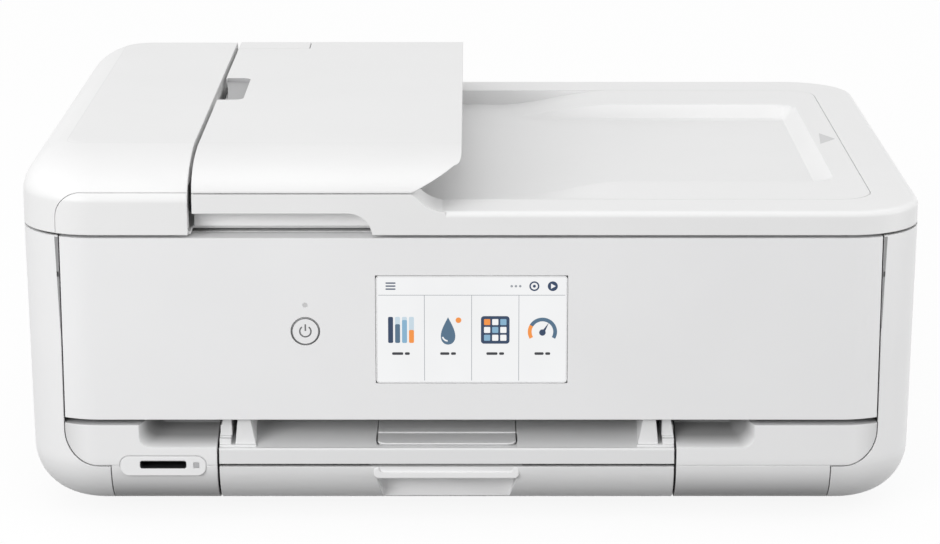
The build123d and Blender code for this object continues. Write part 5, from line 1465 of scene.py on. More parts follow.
@dataclass
class FrontPanel(SubAssembly):
    """The lit display with its own design of tiles, the power button's signs and the panel's skin."""

    sign_lift: float = 0.03
    sign_thick: float = 0.1
    ring_radius: float = 7.1
    ring_line: float = 0.5
    power_radius: float = 2.9
    power_line: float = 0.75
    power_open: Point2 = (128, 412)
    stroke: Point2 = (0.2, 3.8)
    glow: float = 0.98
    bar_height: float = 9.6
    columns: int = 4
    line: float = 0.28
    margin: float = 0.6
    sign_share: float = 0.60
    label_half: float = 4.6
    label_less: float = 0.5
    label_low: float = 13.4
    label_high: float = 12.0
    label_end: float = 3.4
    label_dot: float = 2.6
    label_round: float = 0.6
    mark: float = 2.6
    menu_in: float = 7.0
    start_in: float = 7.0
    ring_in: float = 16.5
    dots_in: float = 26.0

    def build(self) -> None:
        """Builds the signs of the button and the display, and the skin of the panel."""
        self._button_signs()
        self._display()
        even_copy(self.shop.nodes["panel_cover"], "panel_skin", "front_panel", Slot.PANEL)

    def _display(self) -> None:
        """Draws the display's tiles below a slim bar of marks."""
        glass = Box.of("display_glass")
        art = DisplayArt(glass.y0)
        bar_low = glass.z1 - self.bar_height
        half_line = self.line / 2
        art.bar(Tint.LINE, glass.x0 + self.margin, glass.x1 - self.margin, bar_low - half_line,
                bar_low + half_line)
        pitch = (glass.x1 - glass.x0) / self.columns
        for i in range(1, self.columns):
            x = glass.x0 + pitch * i
            art.bar(Tint.LINE, x - half_line, x + half_line, glass.z0 + self.margin, bar_low)
        middle = glass.z0 + self.sign_share * (bar_low - glass.z0)
        centres = [glass.x0 + pitch * (i + 0.5) for i in range(self.columns)]
        for sign, x in zip((self._levels, self._drop, self._board, self._dial), centres):
            sign(art, x, middle)
        low, high = middle - self.label_low, middle - self.label_high
        for i, x in enumerate(centres):
            half = self.label_half - self.label_less * (i % 2)
            for start, end in ((x - half, x + half - self.label_end), (x + half - self.label_dot, x + half)):
                art.bar(Tint.LABEL, start, end, low, high, self.label_round)
        self._marks(art, glass, bar_low)
        art.build(self.shop, self.glow)

    @staticmethod
    def _levels(art: DisplayArt, cx: float, cz: float) -> None:
        """Four upright level bars."""
        half, wide, pitch, left = 7.0, 2.6, 3.6, 6.6
        fills = ((Tint.NAVY, 1.0), (Tint.SLATE, 0.72), (Tint.SKY, 0.88), (Tint.ORANGE, 0.5))
        for i, (tint, fill) in enumerate(fills):
            x = cx - left + pitch * i
            art.bar(Tint.MIST, x, x + wide, cz - half, cz + half, 0.7)
            art.bar(tint, x, x + wide, cz - half, cz - half + 2 * half * fill, 0.7, 2)

    @staticmethod
    def _drop(art: DisplayArt, cx: float, cz: float) -> None:
        """A drop with a light glint, and a small dot beside it."""
        half, high, taper = 5.2, 7.4, 1.3
        turns = (math.radians(10 * k) for k in range(36))
        outline = [(cx + half * math.sin(t) * math.sin(t / 2) ** taper, cz - 0.5 + high * math.cos(t))
                   for t in turns]
        art.shape(Tint.SLATE, outline, 1)
        art.disc(Tint.PAPER, cx, cz - 3.0, 3.3, 2, 195, 265, 2.5)
        art.disc(Tint.ORANGE, cx + 5.4, cz + 5.2, 1.5, 1)

    @staticmethod
    def _board(art: DisplayArt, cx: float, cz: float) -> None:
        """A board of nine squares, one of them lit."""
        half, square, pitch = 7.4, 1.6, 4.2
        art.bar(Tint.NAVY, cx - half, cx + half, cz - half, cz + half, 1.6)
        for row in range(3):
            for column in range(3):
                x = cx - pitch + pitch * column
                z = cz - pitch + pitch * row
                tint = Tint.ORANGE if (row, column) == (2, 0) else Tint.SKY if row == column else Tint.PAPER
                art.bar(tint, x - square, x + square, z - square, z + square, 0.4, 2)

    @staticmethod
    def _dial(art: DisplayArt, cx: float, cz: float) -> None:
        """A dial with a needle."""
        outer, inner = 7.6, 5.6
        for tint, start, end in ((Tint.SLATE, -30, 150), (Tint.ORANGE, 150, 210)):
            art.disc(tint, cx, cz - 1.0, outer, 1, start, end, inner)
        art.shape(Tint.NAVY, [(cx - 1.0, cz - 1.6), (cx + 1.0, cz - 1.6), (cx + 3.4, cz + 4.0)], 2)
        art.disc(Tint.NAVY, cx, cz - 1.4, 1.7, 3)

    def _marks(self, art: DisplayArt, glass: Box, bar_low: float) -> None:
        """Small marks in the slim bar: three strokes, three dots, a ring and a start sign."""
        z = (bar_low + glass.z1) / 2
        m = self.mark
        x = glass.x0 + self.menu_in
        for k in range(3):
            art.bar(Tint.NAVY, x - m, x + m, z - 1.9 + 1.6 * k, z - 1.2 + 1.6 * k, 0.3)
        x = glass.x1 - self.start_in
        art.disc(Tint.NAVY, x, z, m, 1)
        art.shape(Tint.PAPER, [(x - 0.9, z - 1.4), (x + 1.5, z), (x - 0.9, z + 1.4)], 2)
        x = glass.x1 - self.ring_in
        art.disc(Tint.NAVY, x, z, m, 1, 0, 360, m - 0.8)
        art.disc(Tint.NAVY, x, z, 0.8, 1)
        x = glass.x1 - self.dots_in
        for k in range(3):
            art.disc(Tint.LINE, x - 2.2 + 2.2 * k, z, 0.65, 1)

    def _button_signs(self) -> None:
        """Grey ring and power sign on the button."""
        button = Box.of("power_button")
        cx, _, cz = button.middle
        y = button.y0 - self.sign_lift
        half = self.power_line / 2
        sketch = Sketch()
        self._band(sketch, (cx, y, cz), self.ring_radius - self.ring_line, self.ring_radius, (0, 360), 72)
        self._band(sketch, (cx, y, cz), self.power_radius - half, self.power_radius + half,
                   self.power_open, 40)
        low, high = (cz + v for v in self.stroke)
        sketch.prism([(cx - half, y, low), (cx + half, y, low), (cx + half, y, high), (cx - half, y, high)],
                     (0, self.sign_thick, 0))
        self.shop.piece("power_sign", sketch, "power_button", Slot.PANEL, SIGN_INK)

    def _band(self, sketch: Sketch, centre: Point3, inner: float, outer: float, turn: Point2,
              steps: int) -> None:
        """Adds a flat ring or arc.

        Args:
            sketch: where it goes.
            centre: middle of its front.
            inner: inner radius.
            outer: outer radius.
            turn: first and last angle in degrees.
            steps: number of parts.
        """
        cx, y, cz = centre
        rings = [arc(cx, cz, radius, *turn, steps) for radius in (inner, outer, outer, inner)]
        depths = (y, y, y + self.sign_thick, y + self.sign_thick)
        rows = [[(px, depth, pz) for px, pz in ring] for ring, depth in zip(rings, depths)]
        sketch.grid(rows, close_v=True)
        if abs(turn[1] - turn[0]) < 360:
            for k in (0, -1):
                sketch.face(row[k] for row in rows)


# ---------------------------------------------------------------- housing


@dataclass
class Housing(SubAssembly):
    """Small things on the outer covers: a dark sleeve of painted shade in the card slot, the light window and
    the screws.
    """

    slot_radius: float = 1.1
    slot_inset: Point2 = (2.03, 2.43)
    slot_sunk: float = 0.12
    # wall and depth of the dark sleeve that paints the shade in the card slot
    shade_sleeve_wall: float = 0.25
    shade_sleeve_deep: float = 7.5
    window: float = 2.8
    window_place: Point2 = (3.2, -0.4)
    window_corner: float = 0.4
    window_rings: Outline = ((0.0, 0.45), (0.0, 0.16), (0.12, 0.08), (0.5, 0.05))
    head_radius: float = 2.75
    head_height: float = 0.85
    head_fall: float = 0.45
    head_rings: int = 12
    head_steps: int = 48
    head_flat: float = 2.0
    cross_long: float = 1.55
    cross_wide: float = 0.42
    cross_deep: float = 0.55
    cross_fall: float = 0.45

    def build(self) -> None:
        """Builds all the pieces."""
        reader, front = Box.of("card_reader"), Box.of("front_left_cover").y0
        self._slot_shade_sleeve(reader, front)
        self._window(reader, front)
        self._screws()

    def _slot_shade_sleeve(self, reader: Box, front: float) -> None:
        """Dark sleeve inside the card slot: painted shade on the slot's walls."""
        dx, dz = self.slot_inset
        x0, x1, z0, z1 = reader.x0 + dx, reader.x1 - dx, reader.z0 + dz, reader.z1 - dz
        t = self.shade_sleeve_wall
        outer = rounded(x0, x1, z0, z1, self.slot_radius)
        inner = rounded(x0 + t, x1 - t, z0 + t, z1 - t, self.slot_radius - t)
        y = front + self.slot_sunk
        rings = [(outer, y), (inner, y), (inner, y + self.shade_sleeve_deep), (outer, y + self.shade_sleeve_deep)]
        sketch = Sketch()
        sketch.grid([[(px, depth, pz) for px, pz in ring] for ring, depth in rings], close_u=True,
                    close_v=True)
        self.shop.piece("card_slot_liner", sketch, "chassis", Slot.DARK)

    def _window(self, reader: Box, front: float) -> None:
        """Small square light window beside the card slot."""
        cx = reader.x1 + self.window_place[0]
        cz = (reader.z0 + reader.z1) / 2 + self.window_place[1]
        rows = []
        for inset, depth in self.window_rings:
            h = self.window / 2 - inset
            ring = rounded(cx - h, cx + h, cz - h, cz + h, self.window_corner)
            rows.append([(px, front + depth, pz) for px, pz in ring])
        sketch = Sketch()
        sketch.grid(rows, close_u=True, capped=True)
        self.shop.piece("access_window", sketch, "chassis", Slot.PANEL, SMOKED_WINDOW)

    def screw(self) -> Sketch:
        """Round screw head with a cross recess, facing +X.

        Returns:
            The sketch.
        """
        rows = []
        for i in range(self.head_rings):
            radius = self.head_radius * (1 - i / self.head_rings)
            row = []
            for k in range(self.head_steps):
                a = 2 * math.pi * k / self.head_steps
                u, v = radius * math.cos(a), radius * math.sin(a)
                top = self.head_height * (1 - self.head_fall * (radius / self.head_radius) ** 3)
                small, large = sorted((abs(u), abs(v)))
                if small < self.cross_wide and large < self.cross_long:
                    top -= self.cross_deep * (1 - self.cross_fall * large / self.cross_long)
                row.append((top, u, v))
            rows.append(row)
        rows.insert(0, [(0.0, p[1], p[2]) for p in rows[0]])
        sketch = Sketch()
        sketch.grid(rows, close_u=True)
        hub = (self.head_height - self.cross_deep, 0.0, 0.0)
        last = rows[-1]
        for k in range(self.head_steps):
            sketch.face((last[k], last[(k + 1) % self.head_steps], hub))
        sketch.face(rows[0])
        return sketch

    def _screws(self) -> None:
        """Cross-recess screws in place of the plain ones."""
        places, facings = [], []
        for low, high in self.shop.islands("cover_screws"):
            middle = (low + high) / 2
            if high.z - low.z < self.head_flat:
                places.append((middle.x, middle.y, high.z))
                facings.append((0.0, 0.0, -1.0))
            else:
                places.append((middle.x, low.y, middle.z))
                facings.append((0.0, 1.0, 0.0))
        piece = self.shop.lay("cross_screws", self.shop.repeats.places, self.screw(), "chassis", Slot.STEEL,
                              SCREW_STEEL, place_mesh(places, facings))
        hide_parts("cover_screws")


@dataclass
class PanelSeams(SubAssembly):
    """Strips of painted shadow beside the front panel, wide at the top and narrow below, with small dark
    patches of painted shade where the seam has a notch.
    """

    start: float = 212.95
    round_end: float = 214.0
    round_run: float = 1.0
    top: float = 152.9
    low: float = 104.0
    wide: float = 1.8
    narrow: float = 0.25
    notch_shade_low: float = 131.6
    notch_shade_high: float = 134.4
    step: float = 1.6
    across: int = 3
    proud: float = 0.06
    sunk: float = 0.15
    ray_start_m: float = -0.25

    def build(self) -> None:
        """Builds both strips of painted shadow and both dark patches of painted notch shade."""
        for side, name in ((-1.0, "left"), (1.0, "right")):
            mesh = bmesh.new()
            mesh.from_mesh(self.shop.nodes[name + "_side_cover"].data)
            tree = BVHTree.FromBMesh(mesh)
            mesh.free()
            # grey strips of painted shadow for the gap beside the panel
            strip = self._strip(tree, side, self.low, self.top, self.proud)
            self.shop.piece("panel_seam_" + name, strip, "chassis", Slot.HOUSING, SEAM_SHADOW_GREY)
            # small dark patches of painted shade where the side seam has a notch
            strip = self._strip(tree, side, self.notch_shade_low, self.notch_shade_high, self.proud * 2)
            self.shop.piece("panel_stop_" + name, strip, "chassis", Slot.DARK)

    def _face(self, tree: BVHTree, x: float, z: float) -> float:
        """Y of the cover's outer face at one place."""
        return tree.ray_cast(Vector((x * MM, self.ray_start_m, z * MM)), Vector((0, 1, 0)))[0].y / MM

    def _strip(self, tree: BVHTree, side: float, low: float, high: float, proud: float) -> Sketch:
        """Thin strip laid on the side cover.

        Args:
            tree: the cover's surface.
            side: -1 for left and 1 for right.
            low: height of the strip's end.
            high: height of the strip's top.
            proud: how far it stands out.

        Returns:
            The sketch.
        """
        rows = []
        for z in steps_between(low, high, self.step):
            share = (z - self.low) / (self.top - self.low)
            width = self.narrow + (self.wide - self.narrow) * share
            row_out, row_in = [], []
            for k in range(self.across + 1):
                out = self.start + width * k / self.across
                x = side * out
                y = self._face(tree, x, z)
                if out < self.round_end:
                    edge = self._face(tree, side * self.round_end, z)
                    slope = self._face(tree, side * (self.round_end + self.round_run), z) - edge
                    y = edge - slope * (self.round_end - out)
                row_out.append((x, y - proud, z))
                row_in.append((x, y + self.sunk, z))
            rows.append(row_out + list(reversed(row_in)))
        sketch = Sketch()
        sketch.grid(rows, close_u=True, capped=True)
        return sketch


@dataclass
class RearPanel(SubAssembly):
    """Louvres behind the vents and contacts inside the sockets."""

    slat_count: int = 8
    slat_pitch: float = 3.4
    slat_depth: float = 4.2
    slat_rise: float = 0.55
    slat_thick: float = 0.8
    vent_left: float = 126.0
    vent_right: float = 189.0
    vent_low: float = 93.5
    vent_behind: float = 7.2
    network_pin: Sizes = (0.55, 7.0, 0.5, 0.08)
    network_count: int = 8
    network_pitch: float = 1.27
    network_place: Point2 = (-180.45, 92.0)
    network_behind: float = 7.5
    usb_pin: Sizes = (0.9, 5.0, 0.3, 0.05)
    usb_count: int = 4
    usb_pitch: float = 1.2
    usb_place: Point2 = (-1.8, 1.42)
    usb_behind: float = 6.5

    def build(self) -> None:
        """Builds louvres and contacts."""
        wide = self.vent_right - self.vent_left
        rise, half, thick = self.slat_rise * self.slat_depth, wide / 2, self.slat_thick
        slat = Sketch()
        slat.prism([(-half, 0, 0), (-half, self.slat_depth, rise), (-half, self.slat_depth, rise + thick),
                    (-half, 0, thick)], (wide, 0, 0))
        middle = (self.vent_left + self.vent_right) / 2
        self.shop.row("vent_louvres", slat, "chassis", Slot.DARK, self.slat_count,
                      (middle, Box.of("rear_cover").y1 - self.vent_behind, self.vent_low),
                      (0, 0, self.slat_pitch))
        sockets = self.shop.islands("rear_sockets")
        x, z = self.network_place
        self.shop.row("network_contacts", rounded_block(*self.network_pin), "chassis", Slot.STEEL,
                      self.network_count, (x, sockets[0][1].y - self.network_behind, z),
                      (self.network_pitch, 0, 0), CONTACT_GOLD)
        low, high = max(sockets, key=lambda pair: pair[0].x)
        middle = (low + high) / 2
        self.shop.row("usb_contacts", rounded_block(*self.usb_pin), "chassis", Slot.STEEL, self.usb_count,
                      (middle.x + self.usb_place[0], high.y - self.usb_behind, middle.z + self.usb_place[1]),
                      (self.usb_pitch, 0, 0), CONTACT_GOLD)


# ---------------------------------------------------------------- print engine


SLEEVE_SOFT = 0.4
SLEEVE_STEPS = 40


def sleeve(width: float, edge: float, radius: float, axis: int) -> Sketch:
    """Ground rubber sleeve of a roller, about the origin.

    Args:
        width: its length.
        edge: radius at its two ends.
        radius: radius between them.
        axis: 0 for a roller along X and 1 for one along Y.

    Returns:
        The sketch.
    """
    half = width / 2
    profile = [(-half, edge), (-half + SLEEVE_SOFT, radius), (half - SLEEVE_SOFT, radius), (half, edge)]
    return turned(profile, axis, SLEEVE_STEPS)


@dataclass
class PrintEngine(SubAssembly):
    """Repeated details of the works inside: belt teeth, roller sleeves, platen ribs, board and tanks."""

    tooth_pitch: float = 2.0
    tooth_high: float = 0.26
    tooth_margin: float = 0.2
    belt_thick: float = 1.2
    sleeve_count: int = 9
    sleeve_width: float = 26.0
    sleeve_edge: float = 6.9
    sleeve_radius: float = 7.14
    sleeve_reach: float = 150.0
    rib: Sizes = (1.1, 15.0, 0.9, 0.2)
    rib_count: int = 27
    rib_pitch: float = 8.0
    rib_start: float = -116.0
    rib_proud: float = 0.1
    rib_rows: tuple[tuple[str, float], ...] = (("front", 11.0), ("back", 36.0))
    board_top: float = 13.6
    chip: Sizes = (5.0, 6.5, 1.6, 0.15)
    chip_area: Point2 = (40.0, 62.0)
    chip_places: tuple[int, int] = (5, 7)
    chip_middle: Point2 = (-1.0, -52.0)
    chip_least: Point3 = (0.35, 0.3, 0.6)
    chip_most: Point3 = (1.25, 1.1, 1.0)
    chip_fill: float = 0.8
    chip_seed: int = 11
    can: Outline = ((0.0, 0.0), (0.0, 2.2), (0.4, 2.2), (0.6, 2.4), (5.4, 2.4), (5.9, 2.1),
                    (5.9, 0.0))
    can_steps: int = 20
    can_count: int = 5
    can_place: Point2 = (-6.0, -12.0)
    can_pitch: float = 7.0
    tab_half: float = 4.6
    tab_span: Point2 = (20.0, 50.0)
    tab_round: float = 1.5
    tab_proud: float = 0.12
    tab_thick: float = 0.1
    ridge: Sizes = (9.0, 0.9, 0.5, 0.15)
    ridge_count: int = 6
    ridge_start: float = 4.0
    ridge_pitch: float = 1.9
    ridge_proud: float = 0.15

    def build(self) -> None:
        """Builds all the details."""
        self._belt_teeth()
        self._sleeves()
        self._platen()
        self._board()
        self._tanks()

    def _belt_teeth(self) -> None:
        """Teeth on the inner side of the carriage belt."""
        low, high = max(self.shop.islands("drive_belts"), key=lambda pair: pair[1].x)
        middle, size = (low + high) / 2, high - low
        radius = size.y / 2 - self.belt_thick - self.tooth_high / 2
        half = size.x / 2 - size.y / 2
        places = [(-half + self.tooth_pitch * (i + 0.5), middle.y + side * radius, middle.z)
                  for side in (-1.0, 1.0) for i in range(int(2 * half / self.tooth_pitch))]
        tooth = rounded_block(1.0, self.tooth_high, size.z - self.tooth_margin, 0.06)
        self.shop.lay("belt_teeth", self.shop.repeats.places, tooth, "chassis", Slot.RUBBER,
                      base=place_mesh(places, [(1.0, 0.0, 0.0)] * len(places)))

    def _sleeves(self) -> None:
        """Ground rubber sleeves on the feed roller."""
        _, y, z = Box.of("feed_roller").middle
        item = sleeve(self.sleeve_width, self.sleeve_edge, self.sleeve_radius, 0)
        pitch = 2 * self.sleeve_reach / (self.sleeve_count - 1)
        self.shop.row("feed_sleeves", item, "feed_roller", Slot.ROLLER, self.sleeve_count,
                      (-self.sleeve_reach, y, z), (pitch, 0, 0))

    def _platen(self) -> None:
        """Low ribs that carry the sheet over the platen, in two rows."""
        platen = Box.of("platen")
        for name, behind in self.rib_rows:
            self.shop.row("platen_ribs_" + name, rounded_block(*self.rib), "chassis", Slot.DARK,
                          self.rib_count, (self.rib_start, platen.y0 + behind, platen.z1 + self.rib_proud),
                          (self.rib_pitch, 0, 0))

    def _board(self) -> None:
        """Seeded chips and cans on the controller board."""
        board = Box.of("main_board")
        top, cy = board.z0 + self.board_top, board.middle[1]
        chip = rounded_block(*self.chip)
        for vert in chip.mesh.verts:
            vert.co.z += self.chip[2] / 2
        self.shop.lay(
            "board_chips", self.shop.repeats.block, chip, "chassis", Slot.DARK,
            Size=vec(*self.chip_area, 0), Count_X=self.chip_places[0], Count_Y=self.chip_places[1],
            Middle=vec(board.middle[0] + self.chip_middle[0], cy + self.chip_middle[1], top),
            Low=self.chip_least, High=self.chip_most, Fill=self.chip_fill, Seed=self.chip_seed)
        self.shop.row("board_cans", turned(self.can, 2, self.can_steps), "chassis", Slot.STEEL,
                      self.can_count, (board.x1 + self.can_place[0], cy + self.can_place[1], top),
                      (0, self.can_pitch, 0), CAN_TIN)

    def _tanks(self) -> None:
        """Colour tabs and grip ridges on the ink tanks."""
        for i, (low, high) in enumerate(self.shop.islands("ink_tanks")):
            cx = (low.x + high.x) / 2
            near, far = (low.y + v for v in self.tab_span)
            outline = rounded(cx - self.tab_half, cx + self.tab_half, near, far, self.tab_round)
            tab = Sketch()
            tab.prism([(px, py, high.z + self.tab_proud) for px, py in outline], (0, 0, -self.tab_thick))
            self.shop.piece(f"tank_tab_{i}", tab, "carriage", Slot.TANK, TANK_TINTS[i % len(TANK_TINTS)])
            self.shop.row(f"tank_grip_{i}", rounded_block(*self.ridge), "carriage", Slot.TANK,
                          self.ridge_count, (cx, low.y + self.ridge_start, high.z + self.ridge_proud),
                          (0, self.ridge_pitch, 0))


# ---------------------------------------------------------------- scanner


@dataclass
class ScannerUnit(SubAssembly):
    """Size ticks beside the scanning glass and the lens row of the scan head."""

    tick_pitch: float = 10.0
    tick_long: float = 2.4
    tick_wide: float = 0.35
    tick_high: float = 0.06
    tick_soft: float = 0.01
    tick_start: float = 5.0
    tick_away: float = 2.0
    arrow: float = 6.0
    arrow_away: float = 1.5
    arrow_thick: float = 0.05
    lens: Outline = ((0.0, 0.0), (0.0, 0.9), (0.5, 0.9), (0.85, 0.6), (1.0, 0.0))
    lens_steps: int = 14
    lens_count: int = 40
    lens_margin: float = 12.0
    lens_sunk: float = 2.35
    guide_ring: Outline = ((-1, -0.3), (-0.8, 0.5), (0, 1.0), (0.8, 0.5), (1, -0.3))
    guide_half: float = 1.6
    guide_high: float = 0.5
    guide_aside: float = 7.0
    guide_margin: float = 8.0
    guide_proud: float = 0.05

    def build(self) -> None:
        """Builds ticks, lenses and the light guide."""
        self._ticks()
        self._head()

    def _ticks(self) -> None:
        """Ticks along two sides of the glass, and the mark at their corner."""
        low, high = self.shop.islands("scanning_glass")[-1]
        top = Box.of("scanner_top").z1
        pitch, away, z = self.tick_pitch, self.tick_away, top + self.tick_high / 2
        for name, length, size, start, step in (
                ("side", high.y - low.y, (self.tick_long, self.tick_wide),
                 (low.x - away, low.y + self.tick_start, z), (0, pitch, 0)),
                ("back", high.x - low.x, (self.tick_wide, self.tick_long),
                 (low.x + self.tick_start, high.y + away, z), (pitch, 0, 0))):
            self.shop.row("glass_ticks_" + name, rounded_block(*size, self.tick_high, self.tick_soft),
                          "scanner_unit", Slot.DARK, int(length / pitch), start, step, TICK_INK)
        x, y, z = low.x - self.arrow_away, high.y + self.arrow_away, top + self.tick_high
        arrow = Sketch()
        arrow.prism([(x, y, z), (x - self.arrow, y, z), (x, y + self.arrow, z)], (0, 0, -self.arrow_thick))
        self.shop.piece("glass_corner_mark", arrow, "scanner_unit", Slot.DARK, TICK_INK)

    def _head(self) -> None:
        """Lens row and light guide of the scan head."""
        head = Box.of("scan_head")
        middle, length = head.middle[0], head.y1 - head.y0
        self.shop.row("lens_row", turned(self.lens, 2, self.lens_steps), "scan_head", Slot.DARK,
                      self.lens_count, (middle, head.y0 + self.lens_margin, head.z1 - self.lens_sunk),
                      (0, (length - 2 * self.lens_margin) / self.lens_count, 0), LENS_ROW)
        guide = Sketch()
        guide.grid([[(middle + self.guide_aside + self.guide_half * u, y,
                      head.z1 + self.guide_proud + self.guide_high * w) for u, w in self.guide_ring]
                    for y in (head.y0 + self.guide_margin, head.y1 - self.guide_margin)])
        self.shop.piece("scan_light_guide", guide, "scan_head", Slot.LAMP, SCAN_LIGHT)


# ---------------------------------------------------------------- feeder


@dataclass
class GripNotch(SubAssembly):
    """Grey sheets on the floor and sides of the notch where a finger lifts the document tray: painted shade.
    """

    length: float = 14.5
    front: float = -13.0
    back: float = 54.0
    slant: float = 6.5
    skin: float = 2.4
    corner: float = 5.0
    corner_steps: int = 6
    inset: float = 0.04
    back_end: float = 0.6
    sheet: float = 0.12
    rim: float = 0.12
    lift: float = 0.02

    def _path(self, x: float) -> list[Point2]:
        """Plan of the notch's sides.

        Args:
            x: the tray's left side.

        Returns:
            Points from the front left end round to the back left end.
        """
        right, front, back = x + self.length - self.inset, self.front + self.inset, self.back - self.inset
        r, steps = self.corner, self.corner_steps
        return [(x + self.slant, front), *arc(right - r, front + r, r, -90, 0, steps),
                *arc(right - r, back - r, r, 0, 90, steps), (x + self.back_end, back)]

    def build(self) -> None:
        """Builds the floor and the side sheet of painted shade."""
        tray = Box.of("document_tray")
        floor, top = tray.z1 - self.skin + self.lift, tray.z1 - self.rim
        path = self._path(tray.x0)
        sketch = Sketch()
        sketch.prism([(px, py, floor) for px, py in path], (0.0, 0.0, self.sheet))
        rows = []
        for (px, py), (ax, ay), (bx, by) in zip(path, [path[0], *path], [*path[1:], path[-1]]):
            share = self.sheet / (math.hypot(bx - ax, by - ay) or 1.0)
            qx, qy = px - (by - ay) * share, py + (bx - ax) * share
            rows.append([(px, py, floor), (px, py, top), (qx, qy, top), (qx, qy, floor)])
        sketch.grid(rows, close_u=True, capped=True)
        self.shop.piece("notch_liner", sketch, "document_tray", Slot.LID, NOTCH_SHADE_GREY)


@dataclass
class Feeder(SubAssembly):
    """Ridges, ticks, ribs and sleeves of the document feeder."""

    ridge: Sizes = (1.0, 14.0, 0.6, 0.2)
    ridge_count: int = 7
    ridge_pitch: float = 2.4
    ridge_start: float = 52.0
    ridge_inset: float = 12.0
    ridge_level: float = 183.85
    tick: Sizes = (5.0, 0.4, 0.08, 0.02)
    tick_count: int = 8
    tick_pitch: float = 6.0
    tick_start: float = 98.0
    tick_front: float = 42.0
    tick_rear: float = 66.0
    tick_level: float = 182.04
    rib_half: Point2 = (30, 24)
    rib_deep: Point2 = (-1.8, -2.4)
    rib_thick: float = 1.2
    rib_count: int = 9
    rib_place: Point2 = (50.0, -100.0)
    rib_pitch: float = 25.0
    sleeves: tuple[tuple[str, float, float], ...] = (("feed", 8.0, 22.0), ("pick", 6.5, 18.0))
    sleeve_proud: float = 0.1
    sleeve_count: int = 5
    sleeve_start: float = -92.0
    sleeve_pitch: float = 46.0

    def build(self) -> None:
        """Builds all the details."""
        for side in ("front", "rear"):
            guide = Box.of("document_guide_" + side)
            y = guide.y0 + self.ridge_inset if side == "rear" else guide.y1 - self.ridge_inset
            self.shop.row("guide_ridges_" + side, rounded_block(*self.ridge), "guide_" + side, Slot.TRAY,
                          self.ridge_count, (guide.x0 + self.ridge_start, y, self.ridge_level),
                          (self.ridge_pitch, 0, 0))
        deck = Box.of("feeder_deck")
        for name, y in (("front", deck.y0 + self.tick_front), ("rear", self.tick_rear)):
            self.shop.row("deck_ticks_" + name, rounded_block(*self.tick), "document_cover", Slot.DARK,
                          self.tick_count, (deck.x0 + self.tick_start, y, self.tick_level),
                          (0, self.tick_pitch, 0), TICK_INK)
        cover = Box.of("feeder_cover")
        (long, short), (side, deep), y = self.rib_half, self.rib_deep, -self.rib_thick / 2
        rib = Sketch()
        rib.prism([(-long, y, 0), (long, y, 0), (long, y, side), (short, y, deep), (-short, y, deep),
                   (-long, y, side)], (0, self.rib_thick, 0))
        self.shop.row("feeder_cover_ribs", rib, "feeder_cover", Slot.LID, self.rib_count,
                      (cover.x0 + self.rib_place[0], self.rib_place[1], cover.z1 + deep),
                      (0, self.rib_pitch, 0))
        for name, radius, width in self.sleeves:
            node = f"adf_{name}_roller"
            x, _, z = Box.of(node).middle
            item = sleeve(width, radius - self.sleeve_proud, radius + self.sleeve_proud, 1)
            self.shop.row(f"adf_{name}_sleeves", item, node, Slot.ROLLER, self.sleeve_count,
                          (x, self.sleeve_start, z), (0, self.sleeve_pitch, 0))


# ---------------------------------------------------------------- cassette


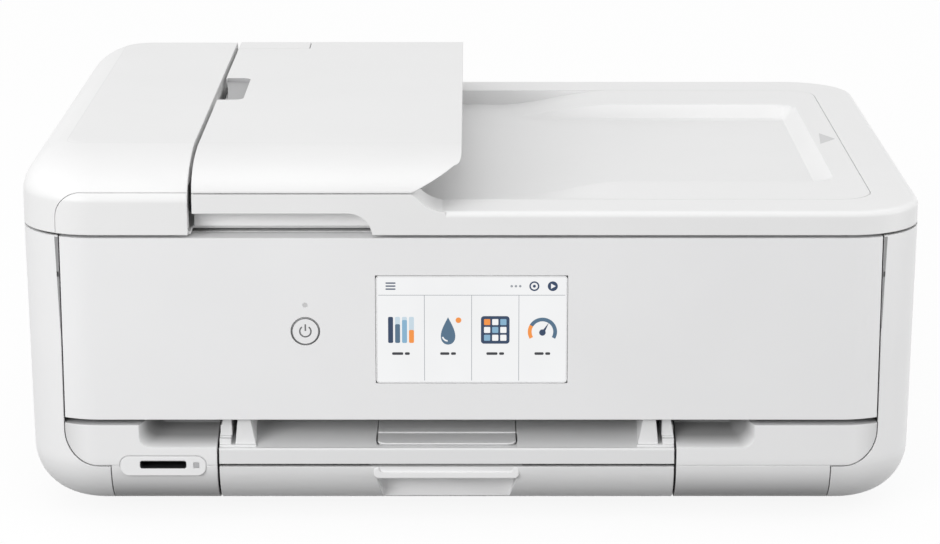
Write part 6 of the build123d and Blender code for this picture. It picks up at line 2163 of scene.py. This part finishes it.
@dataclass
class Cassette(SubAssembly):
    """Ticks on the cassette floor, ridges on its guides and ribs behind its front."""

    floor_below: float = 0.3
    tick: Sizes = (0.4, 5.0, 0.06, 0.01)
    tick_count: int = 7
    tick_pitch: float = 6.0
    tick_inset: float = 6.0
    tick_along: float = 74.0
    ridge: Sizes = (1.0, 26.0, 0.7, 0.2)
    end_ridge: Sizes = (18.0, 1.0, 0.7, 0.2)
    ridge_count: int = 6
    ridge_pitch: float = 2.6
    ridge_inset: float = 8.0
    ridge_level: float = 1.45
    rib_low: float = 0.7
    rib_top: float = 0.45
    rib_high: float = 7.0
    rib_deep: float = 3.0
    rib_count: int = 12
    rib_inset: float = 15.0
    rib_behind: float = 30.2
    rib_lift: float = 0.2

    def build(self) -> None:
        """Builds ticks, ridges and ribs."""
        left, right, end = (Box.of(n) for n in ("paper_guide_left", "paper_guide_right", "end_guide"))
        floor = left.z0 - self.floor_below
        length = self.tick_pitch * (self.tick_count - 1)
        for name, x in (("left", left.x0 + self.tick_inset), ("right", right.x1 - self.tick_inset - length)):
            self.shop.row("cassette_ticks_" + name, rounded_block(*self.tick), "cassette", Slot.DARK,
                          self.tick_count, (x, self.tick_along, floor + self.tick[2] / 2),
                          (self.tick_pitch, 0, 0), TICK_INK)
        for name, x, z, way in (("left", left.x0 + self.ridge_inset, left.z0, 1.0),
                                ("right", right.x1 - self.ridge_inset, right.z0, -1.0)):
            self.shop.row(name + "_guide_ridges", rounded_block(*self.ridge), "paper_guide_" + name,
                          Slot.TRAY, self.ridge_count, (x, 0.0, z + self.ridge_level),
                          (self.ridge_pitch * way, 0, 0))
        self.shop.row("end_guide_ridges", rounded_block(*self.end_ridge), "end_guide", Slot.TRAY,
                      self.ridge_count, (end.middle[0], end.y0 + self.ridge_inset, end.z0 + self.ridge_level),
                      (0, self.ridge_pitch, 0))
        self._ribs(floor)

    def _ribs(self, floor: float) -> None:
        """Upright ribs behind the cassette's front, in the colour that the tray has."""
        tray = Box.of("cassette_tray")
        rib = Sketch()
        rib.prism([(-self.rib_low, 0, 0), (self.rib_low, 0, 0), (self.rib_top, 0, self.rib_high),
                   (-self.rib_top, 0, self.rib_high)], (0, self.rib_deep, 0))
        pitch = (tray.x1 - tray.x0 - 2 * self.rib_inset) / (self.rib_count - 1)
        self.shop.row("cassette_front_ribs", rib, "cassette", Slot.HOUSING, self.rib_count,
                      (tray.x0 + self.rib_inset, tray.y0 + self.rib_behind, floor + self.rib_lift),
                      (pitch, 0, 0))


# ---------------------------------------------------------------- whole


# depth and last tone of the painted shade in the front covers' finger pockets
POCKET_SHADE_DEPTH, POCKET_SHADE_TONE = 12.0, 0.42
# corner and radius of the painted crease shade on the feeder cover and the document tray
CREASE_IN, CREASE_BEHIND, CREASE_RADIUS = 21.0, 48.2, 9.0
PARTS: tuple[type[SubAssembly], ...] = (
    OutputRecess, FrontPanel, Housing, PanelSeams, RearPanel, PrintEngine, ScannerUnit, GripNotch, Feeder,
    Cassette)


def dress_nodes(frame: dict[str, Any], rack: FinishRack) -> None:
    """Gives each CAD node the finish of its slot in the record.

    Args:
        rack: the finishes.
    """
    nodes = frame["nodes"]
    slots = {row["node"]: Slot(row["material_slot"]) for row in frame["record"]["subparts"]}
    for name, node in nodes.items():
        dress(node, rack.get(slots[name]))
    # the front covers get painted shade that darkens their finger pockets with depth
    front = Box.of("front_left_cover").y0
    pocket_shaded = rack.own(replace(FINISHES[Slot.HOUSING], title="pocketed housing",
                                hollow_shade=(front, POCKET_SHADE_DEPTH, POCKET_SHADE_TONE)))
    for name in ("front_left_cover", "front_right_cover"):
        dress(nodes[name], pocket_shaded)
    # the feeder cover and the document tray get a fine line of painted shade along their crease
    feeder = Box.of("feeder_cover")
    crease_shaded = rack.own(replace(FINISHES[Slot.LID], title="creased lid", crease=(
        feeder.x0 + CREASE_IN, feeder.y0 + CREASE_BEHIND, CREASE_RADIUS)))
    for name in ("feeder_cover", "document_tray"):
        dress(nodes[name], crease_shaded)


def main() -> None:
    """Builds the printer's looks piece by piece."""
    logging.basicConfig(level=logging.INFO, format="%(name)s: %(message)s")
    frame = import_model()
    shop = Workshop(frame["nodes"])
    dress_nodes(frame, shop.rack)
    LOG.info("dressed %d nodes", len(frame["nodes"]))
    Studio().build()
    for part in PARTS:
        part(shop).build()
        LOG.info("%s built", part.__name__)


if __name__ == "__main__":
    main()
